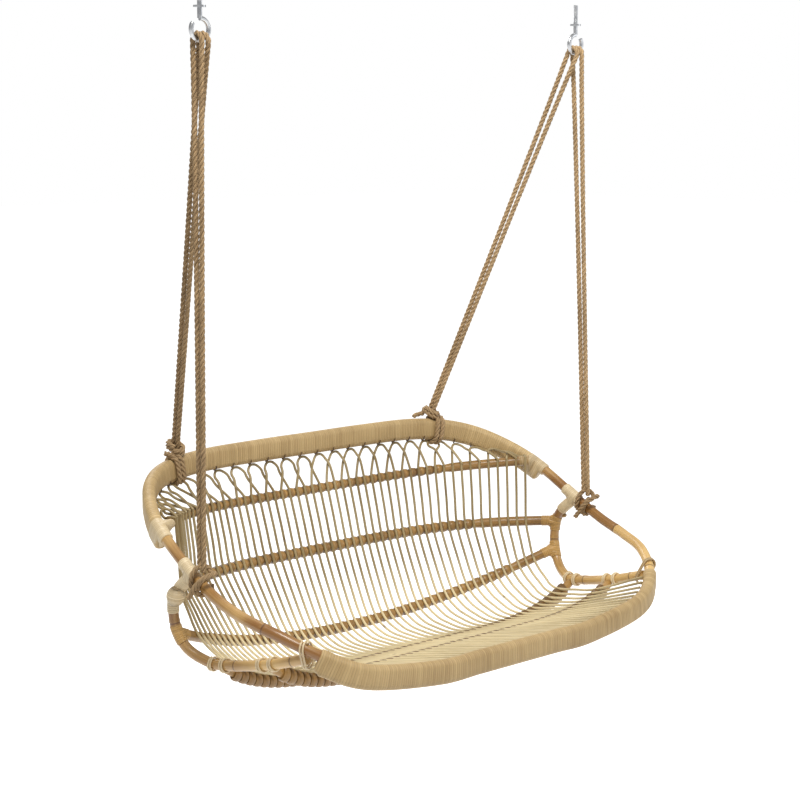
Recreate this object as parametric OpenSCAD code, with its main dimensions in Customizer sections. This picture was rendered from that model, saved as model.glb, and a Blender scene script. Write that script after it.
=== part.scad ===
// Hanging rattan bench on four doubled ropes, with its two ceiling hooks.
// The ceiling is z = 0, the front faces -y, and x = 0 is the plane of symmetry.
// The bench is drawn for its right half, and the left half is its mirror image.
// The hooks hold the ropes, and the bench swings about the line through their throats.

/* [Ceiling hooks] */
// Distance between the two hooks
hook_spacing = 1138; // [1120:1:1150]
// Drop from the ceiling to the wire at the bottom of a hook
throat_drop = 70; // [60:1:90]
// Radius of the hook's round wire
hook_wire_r = 5; // [4:0.5:5.5]
// Radius of the hook's ring, to the middle of its wire
hook_ring_r = 22; // [21:0.5:24]
// Opening of the hook's ring, in degrees
mouth_angle = 55; // [35:1:80]
// Length of the threaded stud above the ceiling
stud_length = 45; // [25:1:80]
// Radius of the collar that bears on the ceiling
collar_r = 13; // [10:0.5:20]
// Thickness of that collar
collar_t = 4; // [2:0.5:8]

/* [Ropes] */
// Radius of the rope
rope_r = 6; // [4.5:0.25:6.25]
// Pitch of the turns that a rope makes round a band or an arm
hitch_pitch = 14; // [13.75:0.25:18]

/* [Outline of the bench] */
// Half width, to the middle of the arm
half_w = 603; // [580:1:625]
// Middle of the top band, behind the hooks, so that the bench hangs with its weight under them
back_y = 334; // [319:1:349]
// Middle of the front band, before the hooks
front_y = -363; // [-376:1:-351]
// Half length of the straight part of the top band
back_flat = 330; // [300:1:360]
// Half length of the straight part of the front band
front_flat = 240; // [210:1:270]
// Drop from the hook's wire to the top pole of the back
top_drop = 923; // [915:1:930]
// Drop from the hook's wire to the arm beside it
arm_drop = 1110; // [1104:1:1116]
// Drop from the hook's wire to the top pole of the front
front_drop = 1300; // [1292:1:1310]

/* [Poles] */
// Radius of the poles in the bands and of the arms
pole_r = 12; // [10:0.5:12.5]
// Radius of the two side poles
side_r = 11.5; // [9.5:0.5:12]
// Radius of the upper rail of the back
upper_rail_r = 8.5; // [7:0.5:9.5]
// Radius of the middle and the lower rail of the back
back_rail_r = 10; // [8:0.5:11]
// Radius of the two seat rails
seat_rail_r = 10.5; // [8:0.5:11.5]

/* [Cane] */
// Thickness of the flat cane binding round a band
binding_t = 2.5; // [1.5:0.25:3.5]
// Radius of the cane wound round the joints and the seat rails
cane_r = 2.2; // [1.5:0.1:2.5]

/* [Spindles] */
// Radius of a spindle
spindle_r = 3.1; // [2.4:0.1:3.4]
// Room between the last loop's middle and the end of the top band
band_room = 86; // [80:1:95]
// Room between the last leg and the end of the upper rail
upper_room = 12; // [9:1:20]
// Room between the last leg and the end of the middle rail
middle_room = 63; // [50:1:75]
// Room between the last leg and the end of the lower rail
lower_room = 51; // [40:1:60]
// Room between the last leg and the end of the rear seat rail
rear_room = 41; // [34:1:50]
// Room between the last leg and the end of the front seat rail
fore_room = 41; // [34:1:50]
// Room between the last leg and the end of the front band
edge_room = 16; // [12:1:26]
// Reach of a loop to each side of its top
loop_reach = 19.5; // [17:0.5:21]

/* [Hidden] */
PAIRS = 13;

// Room left between pieces that seat on each other
seat_gap = 0.35;
// Sides of poles, spindles, bindings, cane and rope
pole_sides = 8;
spindle_sides = 4;
pill_sides = 10;
cane_sides = 4;
rope_sides = 8;
exact_fn = 48;
X = [1, 0, 0];
Z = [0, 0, 1];

// Colours of the pieces
POLE = [0.74, 0.53, 0.28];
BINDING = [0.76, 0.64, 0.44];
PALE = [0.86, 0.78, 0.58];
RAIL = [0.66, 0.44, 0.24];
ROPE = [0.62, 0.50, 0.34];
STEEL = [0.62, 0.63, 0.65];

// Plain helpers on points and vectors
function unit(v) = v / norm(v);
function mix(a, b, w) = a * (1 - w) + b * w;
function flip(p) = [-p[0], p[1], p[2]];
function curve_at(P, i, t) = let (n = len(P) - 1,
    a = i > 0 ? P[i - 1] : 2 * P[0] - P[1], b = P[i], c = P[i + 1],
    d = i + 2 > n ? 2 * P[n] - P[n - 1] : P[i + 2])
    0.5 * (2 * b + (c - a) * t + (2 * a - 5 * b + 4 * c - d) * t * t
    + (3 * b - a - 3 * c + d) * t * t * t);
// A smooth line through the points, each step cut into the number of parts given for it
function smooth(P, cuts) = [for (i = [0 : len(P) - 2])
    let (k = is_num(cuts) ? cuts : cuts[i]) for (j = [0 : k - 1]) curve_at(P, i, j / k),
    P[len(P) - 1]];
// Running length along a line of points
function lengths(P) = [for (i = 0, s = 0; i < len(P);
    s = s + (i + 1 < len(P) ? norm(P[i + 1] - P[i]) : 0), i = i + 1) s];
// A line as three look-up tables by length, so that a place on it is found by its length
function measured(P) = let (s = lengths(P))
    [for (c = [0 : 2]) [for (i = [0 : len(P) - 1]) [s[i], P[i][c]]]];
function reach(T) = T[0][len(T[0]) - 1][0];
// The place at length s, where a negative s is the same place on the left half
function at(T, s) = [(s < 0 ? -1 : 1) * lookup(abs(s), T[0]), lookup(abs(s), T[1]),
    lookup(abs(s), T[2])];
function heading(T, s) = unit(at(T, s + 4) - at(T, s - 4));
// Tangents, and one side direction carried smoothly from ring to ring
function tangents(P) = let (n = len(P) - 1)
    [for (i = [0 : n]) unit(P[min(i + 1, n)] - P[max(i - 1, 0)])];
function square_to(t, v) = unit(v - (v * t) * t);
function sides_of(T, v) = [for (i = 0, u = square_to(T[0], v); i < len(T); i = i + 1,
    u = i < len(T) ? square_to(T[i], u) : u) u];

// A round tube along a line of points
module tube(P, r, sides, start = Z) {
    T = tangents(P);
    U = sides_of(T, start);
    n = len(P);
    points = [for (i = [0 : n - 1]) let (w = cross(T[i], U[i])) for (k = [0 : sides - 1])
        P[i] + r * (cos(360 * k / sides) * U[i] + sin(360 * k / sides) * w)];
    polyhedron(points, concat(
        [for (i = [0 : n - 2]) for (k = [0 : sides - 1])
            let (a = i * sides + k, b = i * sides + (k + 1) % sides) [a, a + sides, b]],
        [for (i = [0 : n - 2]) for (k = [0 : sides - 1])
            let (a = i * sides + k, b = i * sides + (k + 1) % sides) [b, a + sides, b + sides]],
        [for (k = [1 : sides - 2]) [0, k, k + 1]],
        [for (k = [1 : sides - 2]) let (z = (n - 1) * sides) [z, z + k + 1, z + k]]));
}

// A hollow sleeve along a line, whose outline is an outer and an inner closed shape of
// equally many points, given sideways and upwards
module sleeve(P, outer, inner) {
    T = tangents(P);
    m = len(outer);
    n = len(P);
    shape = concat(outer, inner);
    points = [for (i = [0 : n - 1]) let (w = unit(cross(T[i], Z)), u = cross(w, T[i]))
        for (q = shape) P[i] + q[0] * w + q[1] * u];
    polyhedron(points, concat(
        [for (i = [0 : n - 2]) for (k = [0 : m - 1])
            let (a = i * 2 * m + k, b = i * 2 * m + (k + 1) % m) [a, b, a + 2 * m]],
        [for (i = [0 : n - 2]) for (k = [0 : m - 1])
            let (a = i * 2 * m + k, b = i * 2 * m + (k + 1) % m) [b, b + 2 * m, a + 2 * m]],
        [for (i = [0 : n - 2]) for (k = [0 : m - 1])
            let (a = i * 2 * m + m + k, b = i * 2 * m + m + (k + 1) % m) [a, a + 2 * m, b]],
        [for (i = [0 : n - 2]) for (k = [0 : m - 1])
            let (a = i * 2 * m + m + k, b = i * 2 * m + m + (k + 1) % m)
            [b, a + 2 * m, b + 2 * m]],
        [for (k = [0 : m - 1]) let (j = (k + 1) % m) [k, m + k, j]],
        [for (k = [0 : m - 1]) let (j = (k + 1) % m) [j, m + k, m + j]],
        [for (k = [0 : m - 1]) let (j = (k + 1) % m, z = (n - 1) * 2 * m) [z + k, z + j, z + m + k]],
        [for (k = [0 : m - 1]) let (j = (k + 1) % m, z = (n - 1) * 2 * m)
            [z + j, z + m + j, z + m + k]]));
}

// A pill shape of m points: two half circles of radius r round centres half_gap up and down
function pill(r, half_gap, m) = let (grown = r / cos(180 / m))
    [for (k = [0 : m - 1]) let (a = 360 * (k + 0.5) / m)
    [grown * cos(a), grown * sin(a) + (sin(a) > 0 ? half_gap : -half_gap)]];

// Points of a winding round a line: it turns once in each pitch, from turn a to turn b, and
// stays clear by the winding radius, held outside the flats between its own points. Round two
// poles side by side it is a pill, whose half gap is given sideways and upwards.
function winding(T, from, pitch, radius, a, b, steps, half = [0, 0]) =
    [for (j = [0 : round((b - a) * steps)])
    let (turn = a + j / steps, s = from + turn * pitch, t = heading(T, s),
    w = unit(cross(t, abs(t[2]) > 0.8 ? X : Z)), u = cross(w, t), q = 360 * turn + 90,
    side = cos(q) * half[0] + sin(q) * half[1] > 0 ? 1 : -1)
    at(T, s) + radius / cos(180 / steps) * (cos(q) * w + sin(q) * u)
    + side * (half[0] * w + half[1] * u)];
// Least gap of a winding to its own next turn
function own_gap(P, steps, r) =
    min([for (i = [0 : len(P) - 1 - steps]) norm(P[i + steps] - P[i])]) - 2 * r;

// The ring: top band, arm and front band in one half line, from the middle of the back to
// the middle of the front. Each corner is a quarter of a full oval, by angle, with the share
// of the fall that is reached there.
hook_z = -throat_drop;
corner_y = -1;
back_fullness = 0.8;
fore_fullness = 0.625;
back_corner = [[0, 0.02], [20, 0.09], [40, 0.215], [60, 0.425], [75, 0.655], [90, 1]];
fore_corner = [[5, 0.195], [15, 0.325], [30, 0.45], [50, 0.66], [70, 0.865], [90, 0.995]];
ring_line = concat(
    [[0, back_y, hook_z - top_drop], [back_flat / 2, back_y, hook_z - top_drop]],
    [for (c = back_corner) [back_flat + (half_w - back_flat) * pow(sin(c[0]), back_fullness),
        corner_y + (back_y - corner_y) * pow(cos(c[0]), back_fullness),
        hook_z - mix(top_drop, arm_drop, c[1])]],
    [for (c = fore_corner) [front_flat + (half_w - front_flat) * pow(cos(c[0]), fore_fullness),
        corner_y + (front_y - corner_y) * pow(sin(c[0]), fore_fullness),
        hook_z - mix(arm_drop, front_drop, c[1])]],
    [[front_flat / 2, front_y, hook_z - front_drop], [0, front_y, hook_z - front_drop]]);
ring = measured(smooth(ring_line, 6));
ring_len = reach(ring);
function ring_at(s) = at(ring, s);

// Places along the ring, as shares of its length: the ends of the bands, the two ends of the
// side pole, and, by the loops and the pole that they lie beside, the ropes
band_end = 0.4152 * ring_len;
front_band_start = 0.6968 * ring_len;
side_from = 0.4835 * ring_len;
side_to = 0.6803 * ring_len;
// The arms reach into the bindings
arm_hold = 32;
arm_from = band_end - arm_hold;
arm_to = front_band_start + arm_hold;
front_rope_at = side_from + 44;
// The front band is measured from the middle of the front
function front_at(t) = let (p = ring_at(ring_len - abs(t))) [(t < 0 ? -1 : 1) * p[0], p[1], p[2]];
// Two directions square to a line: level, and upright
function level(T, s) = unit(cross(heading(T, s), Z));
function upright(T, s) = let (t = heading(T, s)) cross(unit(cross(t, Z)), t);
pole_step = 2 * pole_r + seat_gap;
sleeve_r = pole_r + seat_gap + binding_t;

// Stops along a bent piece: close together in its corners, wide apart where it is straight
function both(list) = concat([for (i = [len(list) - 1 : -1 : 0]) -list[i]], [0], list);
function span(a, b, n) = [for (k = [0 : n]) mix(a, b, k / n)];
back_half = concat([0.25, 0.45] * band_end, span(0.527 * band_end, arm_from, 5), [band_end]);
front_reach = ring_len - front_band_start;
front_half = concat([0.28 * front_reach], span(0.47 * front_reach, ring_len - arm_to, 5),
    [front_reach]);
function all_but_last(list) = [for (i = [0 : len(list) - 2]) list[i]];
function shortened(list, cut) = concat(all_but_last(list), [list[len(list) - 1] - cut]);
back_line = measured([for (s = concat([0], back_half)) ring_at(s)]);
front_line = measured([for (s = concat([0], front_half)) front_at(s)]);
// The lower pole of a band lies square below the upper one
function under(P, drop) = let (T = tangents(P))
    [for (i = [0 : len(P) - 1]) P[i] - drop * cross(unit(cross(T[i], Z)), T[i])];
function back_path(half) = [for (s = both(half)) ring_at(s)];
function front_path(half) = [for (s = both(half)) front_at(s)];

// The side pole: from below the arm, down behind the seat and forward to the front corner
side_slant = 0.34;
side_top = let (t = heading(ring, side_from))
    ring_at(side_from) + (pole_r + seat_gap + side_slant * side_r) * square_to(t, [0, 1, -0.9]);
side_end = let (t = heading(ring, side_to))
    ring_at(side_to) + (pole_r + side_r + seat_gap) * square_to(t, [-0.45, 0.1, -0.85]);
// Its bend behind the seat: steps outwards and back, and the share of the fall
side_bend = [[0, 34, 0.154], [2, 54, 0.33], [-3, 54, 0.615], [-14, 32, 0.852], [-32, -8, 0.978],
    [-45, -55, 1]];
side_fall = side_top[2] - (hook_z - front_drop - 3);
side_line = smooth(concat([side_top],
    [for (q = side_bend) side_top + [q[0], q[1], -q[2] * side_fall]],
    [mix(side_top + [-45, -55, -side_fall], side_end, 0.5) + [0, 0, -6], side_end]), 4);
side = measured(side_line);
side_len = reach(side);

// Rails: each half runs from its middle to its end, with its bend and its rise as powers
rail_stops = [0, 0.2, 0.4, 0.58, 0.72, 0.84, 0.93, 1];
function rail_line(middle, end, bend, rise) = [for (w = rail_stops)
    [end[0] * w, mix(middle[0], end[1], pow(w, bend)), mix(middle[1], end[2], pow(w, rise))]];
function cut_short(P, cut) = let (n = len(P) - 1)
    concat(all_but_last(P), [P[n] - cut * unit(P[n] - P[n - 1])]);
// A rail stops short of the pole that it meets by that pole's radius and its own slant
function meeting(P, s, r, rail_r) = let (n = len(P) - 1, t = unit(P[n] - P[n - 1]))
    r + seat_gap + rail_r * abs(t * heading(side, s));
function side_rail(middle, s, bend, rise, r) =
    let (P = rail_line(middle, at(side, s), bend, rise))
    cut_short(P, meeting(P, s, side_r, r));
upper_from = 0.401 * ring_len;
// The rail's end lies a little above the middle of the band's upper pole
upper_lift = 8;
upper_end = ring_at(upper_from) + [0, 0, upper_lift]
    + (sleeve_r + upper_rail_r) * level(ring, upper_from);
upper_line = rail_line([back_y - 10, hook_z - mix(top_drop, front_drop, 0.332)], upper_end,
    3.5, 3);
// Where the rails meet the side pole, as shares of its length
middle_from = 0.15 * side_len;
lower_from = 0.282 * side_len;
rear_from = 0.5145 * side_len;
fore_from = 0.785 * side_len;
middle_line = side_rail([back_y - 53, hook_z - mix(top_drop, front_drop, 0.7)], middle_from,
    4, 4, back_rail_r);
lower_line = side_rail([back_y - 142, hook_z - front_drop - 63], lower_from, 2.4, 2.2,
    back_rail_r);
rear_line = side_rail([mix(front_y, back_y, 0.49), hook_z - front_drop - 85], rear_from, 2, 5, seat_rail_r);
fore_line = side_rail([front_y + 200, hook_z - front_drop - 48], fore_from, 2, 6, seat_rail_r);
upper = measured(upper_line);
middle = measured(middle_line);
lower = measured(lower_line);
rear = measured(rear_line);
fore = measured(fore_line);

// Pitches of the legs, from the room that the last leg leaves
last_leg = 2 * PAIRS - 0.5;
band_pitch = (band_end - band_room) / (2 * PAIRS - 1);
upper_pitch = (reach(upper) - upper_room) / last_leg;
middle_pitch = (reach(middle) - middle_room) / last_leg;
lower_pitch = (reach(lower) - lower_room) / last_leg;
rear_pitch = (reach(rear) - rear_room) / last_leg;
fore_pitch = (reach(fore) - fore_room) / last_leg;
edge_pitch = (reach(front_line) - edge_room) / last_leg;
// The rear rope is wrapped between the eighth and the ninth loop
rear_wrap_at = 16 * band_pitch;
rear_rope_at = rear_wrap_at - hitch_pitch / 2;

// Spindles. A leg number is counted in legs from the middle, so that it is a half number.
// Seats on the rails: a leg lies on the side of the sitter, clear by seat_gap.
function seated(T, s, r, along) = let (n = unit(cross(along, heading(T, s))))
    at(T, s) + (r + spindle_r + seat_gap) * n;
function crossings(q) = let (u = at(upper, q * upper_pitch), m = at(middle, q * middle_pitch),
    w = at(lower, q * lower_pitch), r = at(rear, q * rear_pitch), f = at(fore, q * fore_pitch),
    e = front_at(q * edge_pitch))
    [seated(upper, q * upper_pitch, upper_rail_r, unit(m - u)),
    seated(middle, q * middle_pitch, back_rail_r, unit(w - u)),
    seated(lower, q * lower_pitch, back_rail_r, unit(r - m)),
    seated(rear, q * rear_pitch, seat_rail_r, unit(f - w)),
    seated(fore, q * fore_pitch, seat_rail_r, unit(e - r))];
// Where the loops hang: at the lower edge of the top band and, towards its ends, at its inner
// face
band_reach = sleeve_r / cos(180 / pill_sides) + seat_gap + spindle_r;
function share(s, from, to) = min(1, max(0, (s - from) / (to - from)));
function band_edge(s) = let (q = 80 * share(s, band_end - 260, band_end - 110),
    climb = 0.9 * share(s, band_end - 200, band_end - 90),
    u = upright(back_line, s)) at(back_line, s)
    - (pole_step * (1 - climb) + band_reach * cos(q)) * u
    + (band_reach + 2 * climb) * sin(q) * level(back_line, s);
// The front end of a leg, at the inner face of the front band
edge_rise = 5;
function edge_end(q, from) = let (s = q * edge_pitch, p = at(front_line, s),
    t = heading(front_line, s), inward = -unit(cross(t, Z)))
    p + (sleeve_r + 2 * seat_gap + spindle_r * abs(t * unit(p - from))) * inward + [0, 0, edge_rise];
sag_share = 0.11;
// Height above the upper rail's middle at which a leg turns back towards the band
rail_top = 11;
function sagged(a, b) = mix(a, b, 0.5) - [0, 0, sag_share * norm(b - a)];
function leg_below(q) = let (c = crossings(q), e = edge_end(q, c[4]))
    let (low = sagged(c[2], c[3]))
    [c[0] + rail_top * unit(c[0] - c[1]), c[1], c[2], curve_at([c[1], c[2], low, c[3]], 1, 0.5),
    low, curve_at([c[2], low, c[3], c[4]], 1, 0.5), c[3], c[4], e];
// The loop above the upper rail: the legs of neighbours cross, one before the other
cross_step = spindle_r + 1.6;
// A rope that is wrapped round the band pushes the loops beside it apart
rope_room = 17.2;
function pushed(s) = let (d = s - rear_wrap_at) abs(d) < rope_room
    ? rear_wrap_at + (d < 0 ? -rope_room : rope_room) : s;
function loop_point(centre, a, w, lift) = let (free = centre + a,
    s = w < 0.3 ? pushed(free) : free, u = s * upper_pitch / band_pitch, p = band_edge(s),
    seat = seated(upper, u, upper_rail_r, unit(at(middle, u) - at(upper, u))),
    n = unit(cross(unit(seat - p), heading(upper, u))))
    mix(p, seat + [0, 0, rail_top], w) + lift * n;
function half_loop(centre, side) = [loop_point(centre, side * 10, 0.04, 0),
    loop_point(centre, side * loop_reach, 0.2, 0),
    loop_point(centre, side * band_pitch, 0.45, side * cross_step)];
function reversed(P) = [for (i = [len(P) - 1 : -1 : 0]) P[i]];
function hairpin_path(k) = let (centre = (2 * k - 1) * band_pitch,
    inner = 2 * k - 2.5, outer = min(2 * k + 0.5, last_leg))
    concat(reversed(leg_below(inner)), reversed(half_loop(centre, -1)), [band_edge(centre)],
    half_loop(centre, 1), leg_below(outer));
module spindle_pair(k) color(k % 2 == 0 ? PALE : BINDING) {
    P = hairpin_path(k);
    tube(P, spindle_r, spindle_sides, X);
    mirror(X) tube(P, spindle_r, spindle_sides, X);
}

// Poles, bands and rails. The upper poles of the bands butt on the arms inside the bindings.
butt_gap = 2.4;
module bent(P, r) tube(P, r, pole_sides);
module back_top_pole() color(POLE)
    bent(back_path(shortened(all_but_last(back_half), butt_gap)), pole_r);
module back_under_pole() color(POLE)
    bent(under(back_path(shortened(back_half, 8)), pole_step), pole_r);
module front_top_pole() color(POLE)
    bent(front_path(shortened(all_but_last(front_half), butt_gap)), pole_r);
module front_under_pole() color(POLE)
    bent(under(front_path(shortened(front_half, 8)), pole_step), pole_r);
module band(P) color(BINDING)
    sleeve(under(P, pole_step / 2), pill(sleeve_r, pole_step / 2, pill_sides),
    pill(pole_r + seat_gap, pole_step / 2, pill_sides));
module back_binding() band(back_path(back_half));
module front_binding() band(front_path(front_half));
module arm_right() color(POLE) bent([for (s = arm_stops) ring_at(s)], pole_r);
arm_stops = concat([arm_from], span(band_end, front_band_start, 10), [arm_to]);
module arm_left() mirror(X) arm_right();
side_stops = concat(span(0, 0.52, 9), [0.66, 0.83, 1]) * side_len;
module side_pole_right() color(POLE) bent([for (s = side_stops) at(side, s)], side_r);
module side_pole_left() mirror(X) side_pole_right();
module rail(P, r) color(RAIL)
    bent(concat([for (i = [len(P) - 1 : -1 : 1]) flip(P[i])], P), r);
module upper_rail() rail(upper_line, upper_rail_r);
module middle_rail() rail(middle_line, back_rail_r);
module lower_rail() rail(lower_line, back_rail_r);
module rear_seat_rail() rail(rear_line, seat_rail_r);
module front_seat_rail() rail(fore_line, seat_rail_r);

// Cane wound round the seat rails between the legs, and round the joints
module cane(P) color(PALE) tube(P, cane_r, cane_sides);
function wound(r) = r + seat_gap + cane_r;
rail_steps = 5;
first_turn = 0.6;
last_turn = 24.6;
rear_winding_line =
    winding(rear, 0, rear_pitch, wound(seat_rail_r), first_turn, last_turn, rail_steps);
front_winding_line =
    winding(fore, 0, fore_pitch, wound(seat_rail_r), first_turn, last_turn, rail_steps);
module rear_winding_right() cane(rear_winding_line);
module rear_winding_left() mirror(X) rear_winding_right();
module front_winding_right() cane(front_winding_line);
module front_winding_left() mirror(X) front_winding_right();

lash_pitch = 2 * cane_r + 1.8;
lash_steps = 6;
// Steps of a turn round two poles or strands, and the half step that keeps its corners off
// the flats
hitch_steps = 8;
half_step = 0.5 / hitch_steps;
function lashing(T, from, turns, r, pitch = lash_pitch) =
    winding(T, from, pitch, wound(r), 0, turns, lash_steps);
arm_lash_line = lashing(side, 11, 6, side_r);
// Turns below and above the rails' ends. The side pole bends tightly at the lower one, so that
// the turns there stand further apart.
middle_lash_pitch = lash_pitch + 0.4;
lower_lash_pitch = lash_pitch + 1.4;
rail_lash_room = back_rail_r + cane_r + 2;
middle_lash_line = lashing(side, middle_from + rail_lash_room, 3, side_r, middle_lash_pitch);
lower_lash_line = lashing(side, lower_from + rail_lash_room + 2, 3, side_r, lower_lash_pitch);
function lash_above(from, pitch) =
    lashing(side, from - rail_lash_room - 2 * pitch, 2, side_r, pitch);
// Room that the arm's own turns leave for the side pole's end
arm_lash_room = side_r + 2 * cane_r + 5;
module arm_lashing_right() {
    cane(arm_lash_line);
    cane(lashing(ring, side_from - arm_lash_room - 4 * lash_pitch, 4, pole_r));
}
module arm_lashing_left() mirror(X) arm_lashing_right();
module middle_lashing_right() {
    cane(middle_lash_line);
    cane(lash_above(middle_from, middle_lash_pitch));
}
module middle_lashing_left() mirror(X) middle_lashing_right();
module lower_lashing_right() {
    cane(lower_lash_line);
    cane(lash_above(lower_from, lower_lash_pitch));
}
module lower_lashing_left() mirror(X) lower_lashing_right();

// The end of the side pole is tied to the arm above it: turns round both
tie_mid = measured([for (d = [32 : -8 : 0])
    mix(ring_at(side_to - d), at(side, side_len - d), 0.5)]);
tie_half = let (d = 14, v = at(side, side_len - d) - ring_at(side_to - d), t = heading(tie_mid, 20),
    w = unit(cross(t, Z)), u = cross(w, t)) [v * w, v * u] / 2;
corner_tie_line = winding(tie_mid, 17, lash_pitch, wound(pole_r) + 1.8, half_step, half_step + 2,
    hitch_steps, tie_half);
module corner_tie_right() cane(corner_tie_line);
module corner_tie_left() mirror(X) corner_tie_right();

// Seat rails are tied to the side pole by turns before and behind their ends
module rail_tie(from, rail_r) for (m = [-1, 1])
    cane(lashing(side, from + m * (rail_r + 2 * cane_r + 2) - lash_pitch, 2, side_r + 0.4));
module rear_rail_ties() {
    rail_tie(rear_from, seat_rail_r);
    mirror(X) rail_tie(rear_from, seat_rail_r);
}
module front_rail_ties() {
    rail_tie(fore_from, seat_rail_r);
    mirror(X) rail_tie(fore_from, seat_rail_r);
}

// Ropes: each is doubled over a hook's wire and hangs down in two strands.
// The turn over the wire, sideways and upwards from the throat:
turn_line = [[-15, 0], [-13, 7], [-7.5, 12], [0, 14], [7.5, 12], [13, 7], [15, 0]];
// The strands: share of the way down, and half the distance between the two
strand_line = [[0.02, 14.5], [0.07, 13], [0.16, 11.5], [0.3, 10], [0.5, 8.5],
    [0.75, 7.5]];
rope_shift = 7;
front_turn = [hook_spacing / 2 + rope_shift, 0, hook_z];
rear_turn = [hook_spacing / 2 - rope_shift - 2, 0, hook_z];
wrap_r = rope_r + seat_gap;
// Feet of the strands, on the turns that they make round the arm or the band
function arm_foot(s) = let (t = heading(ring, s))
    ring_at(s) + [0, 0, (pole_r + 2 * wrap_r + rope_r * abs(t[2])) / norm([t[0], t[1]])];
foot_half = 8;
front_feet = [arm_foot(front_rope_at + foot_half), arm_foot(front_rope_at - foot_half)];
band_lift = sleeve_r + 2 * wrap_r + 3.5;
rear_foot_y = [-1, 12.5];
rear_feet = [for (y = rear_foot_y) at(back_line, rear_rope_at) + [0, y, band_lift]];
function rope_path(turn, feet) = let (foot = mix(feet[0], feet[1], 0.5), d = unit(foot - turn),
    e = square_to(d, [0, 1, 0]), n = len(strand_line) - 1)
    concat([feet[0]],
    [for (i = [n : -1 : 0]) mix(turn, foot, strand_line[i][0]) - strand_line[i][1] * e],
    [for (q = turn_line) turn + q[0] * e - q[1] * d],
    [for (q = strand_line) mix(turn, foot, q[0]) + q[1] * e],
    [feet[1]]);
module rope(P) color(ROPE) tube(P, rope_r, rope_sides, X);
module rope_front_right() rope(rope_path(front_turn, front_feet));
module rope_front_left() mirror(X) rope_front_right();
module rope_rear_right() rope(rope_path(rear_turn, rear_feet));
module rope_rear_left() mirror(X) rope_rear_right();

// Hitches: turns round the arm or the band, whose ends hang down as tails
hitch_sides = 6;
arm_tails = [[0, 0, -16], [2, -3, -34], [3, -8, -50]];
arm_turns = winding(ring, front_rope_at, hitch_pitch, pole_r + wrap_r, -1.25, 1.25, hitch_steps);
function with_tails(P, tails) = let (n = len(P) - 1)
    concat([for (i = [2 : -1 : 0]) P[0] + flip(tails[i])], P, [for (q = tails) P[n] + q]);
module hitch_front_right() color(ROPE)
    tube(with_tails(arm_turns, arm_tails), rope_r, hitch_sides);
module hitch_front_left() mirror(X) hitch_front_right();
// Round the band the turns are a pill, and a collar of two turns binds the strands above it
band_mid = measured(under([for (d = [-24, 24]) at(back_line, rear_wrap_at + d)], pole_step / 2));
band_turns = winding(band_mid, 24, hitch_pitch, sleeve_r + wrap_r, half_step - 1, half_step + 1,
    hitch_steps, [0, pole_step / 2]);
collar_from = -3;
rear_strands = let (foot = mix(rear_feet[0], rear_feet[1], 0.5))
    measured([foot, mix(foot, rear_turn, 0.12)]);
collar_turns = winding(rear_strands, collar_from + hitch_pitch, hitch_pitch, 2 * wrap_r, half_step,
    half_step + 2, hitch_steps, [7.5, 0]);
band_tail = [[14, -4, 3], [31, -9, 8]];
module hitch_rear_right() color(ROPE) {
    tube(band_turns, rope_r, hitch_sides);
    tube(concat([for (i = [1 : -1 : 0]) collar_turns[0] + band_tail[i]], collar_turns),
        rope_r, hitch_sides);
}
module hitch_rear_left() mirror(X) hitch_rear_right();

// Ceiling hooks: a threaded stud, a collar on the ceiling, a shank and an open ring
module hook_right() color(STEEL) translate([hook_spacing / 2, 0, 0]) {
    ring_z = hook_z + hook_ring_r;
    cylinder(h = stud_length, r = hook_wire_r, $fn = exact_fn);
    translate([0, 0, -collar_t]) cylinder(h = collar_t, r = collar_r, $fn = exact_fn);
    translate([0, 0, ring_z + hook_ring_r])
        cylinder(h = throat_drop - 2 * hook_ring_r, r = hook_wire_r, $fn = exact_fn);
    translate([0, 0, ring_z]) rotate([90, 0, 0]) rotate(90)
        rotate_extrude(angle = 360 - mouth_angle, $fn = exact_fn)
        translate([hook_ring_r, 0]) circle(r = hook_wire_r, $fn = exact_fn);
}
module hook_left() mirror(X) hook_right();

// Least gaps of the windings to themselves, all over 0.4
echo(rear_winding_gap = own_gap(rear_winding_line, rail_steps, cane_r),
    front_winding_gap = own_gap(front_winding_line, rail_steps, cane_r),
    arm_lashing_gap = own_gap(arm_lash_line, lash_steps, cane_r),
    middle_lashing_gap = own_gap(middle_lash_line, lash_steps, cane_r),
    lower_lashing_gap = own_gap(lower_lash_line, lash_steps, cane_r),
    corner_tie_gap = own_gap(corner_tie_line, hitch_steps, cane_r),
    arm_hitch_gap = own_gap(arm_turns, hitch_steps, rope_r),
    band_hitch_gap = own_gap(band_turns, hitch_steps, rope_r),
    collar_gap = own_gap(collar_turns, hitch_steps, rope_r));

hook_left();
hook_right();
rope_rear_left();
rope_rear_right();
rope_front_left();
rope_front_right();
hitch_rear_left();
hitch_rear_right();
hitch_front_left();
hitch_front_right();
back_top_pole();
back_under_pole();
back_binding();
arm_left();
arm_right();
front_top_pole();
front_under_pole();
front_binding();
side_pole_left();
side_pole_right();
upper_rail();
middle_rail();
lower_rail();
rear_seat_rail();
front_seat_rail();
rear_winding_left();
rear_winding_right();
front_winding_left();
front_winding_right();
arm_lashing_left();
arm_lashing_right();
middle_lashing_left();
middle_lashing_right();
lower_lashing_left();
lower_lashing_right();
corner_tie_left();
corner_tie_right();
rear_rail_ties();
front_rail_ties();
spindle_pair(1);  // spindle_pair_01
spindle_pair(2);  // spindle_pair_02
spindle_pair(3);  // spindle_pair_03
spindle_pair(4);  // spindle_pair_04
spindle_pair(5);  // spindle_pair_05
spindle_pair(6);  // spindle_pair_06
spindle_pair(7);  // spindle_pair_07
spindle_pair(8);  // spindle_pair_08
spindle_pair(9);  // spindle_pair_09
spindle_pair(10);  // spindle_pair_10
spindle_pair(11);  // spindle_pair_11
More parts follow.
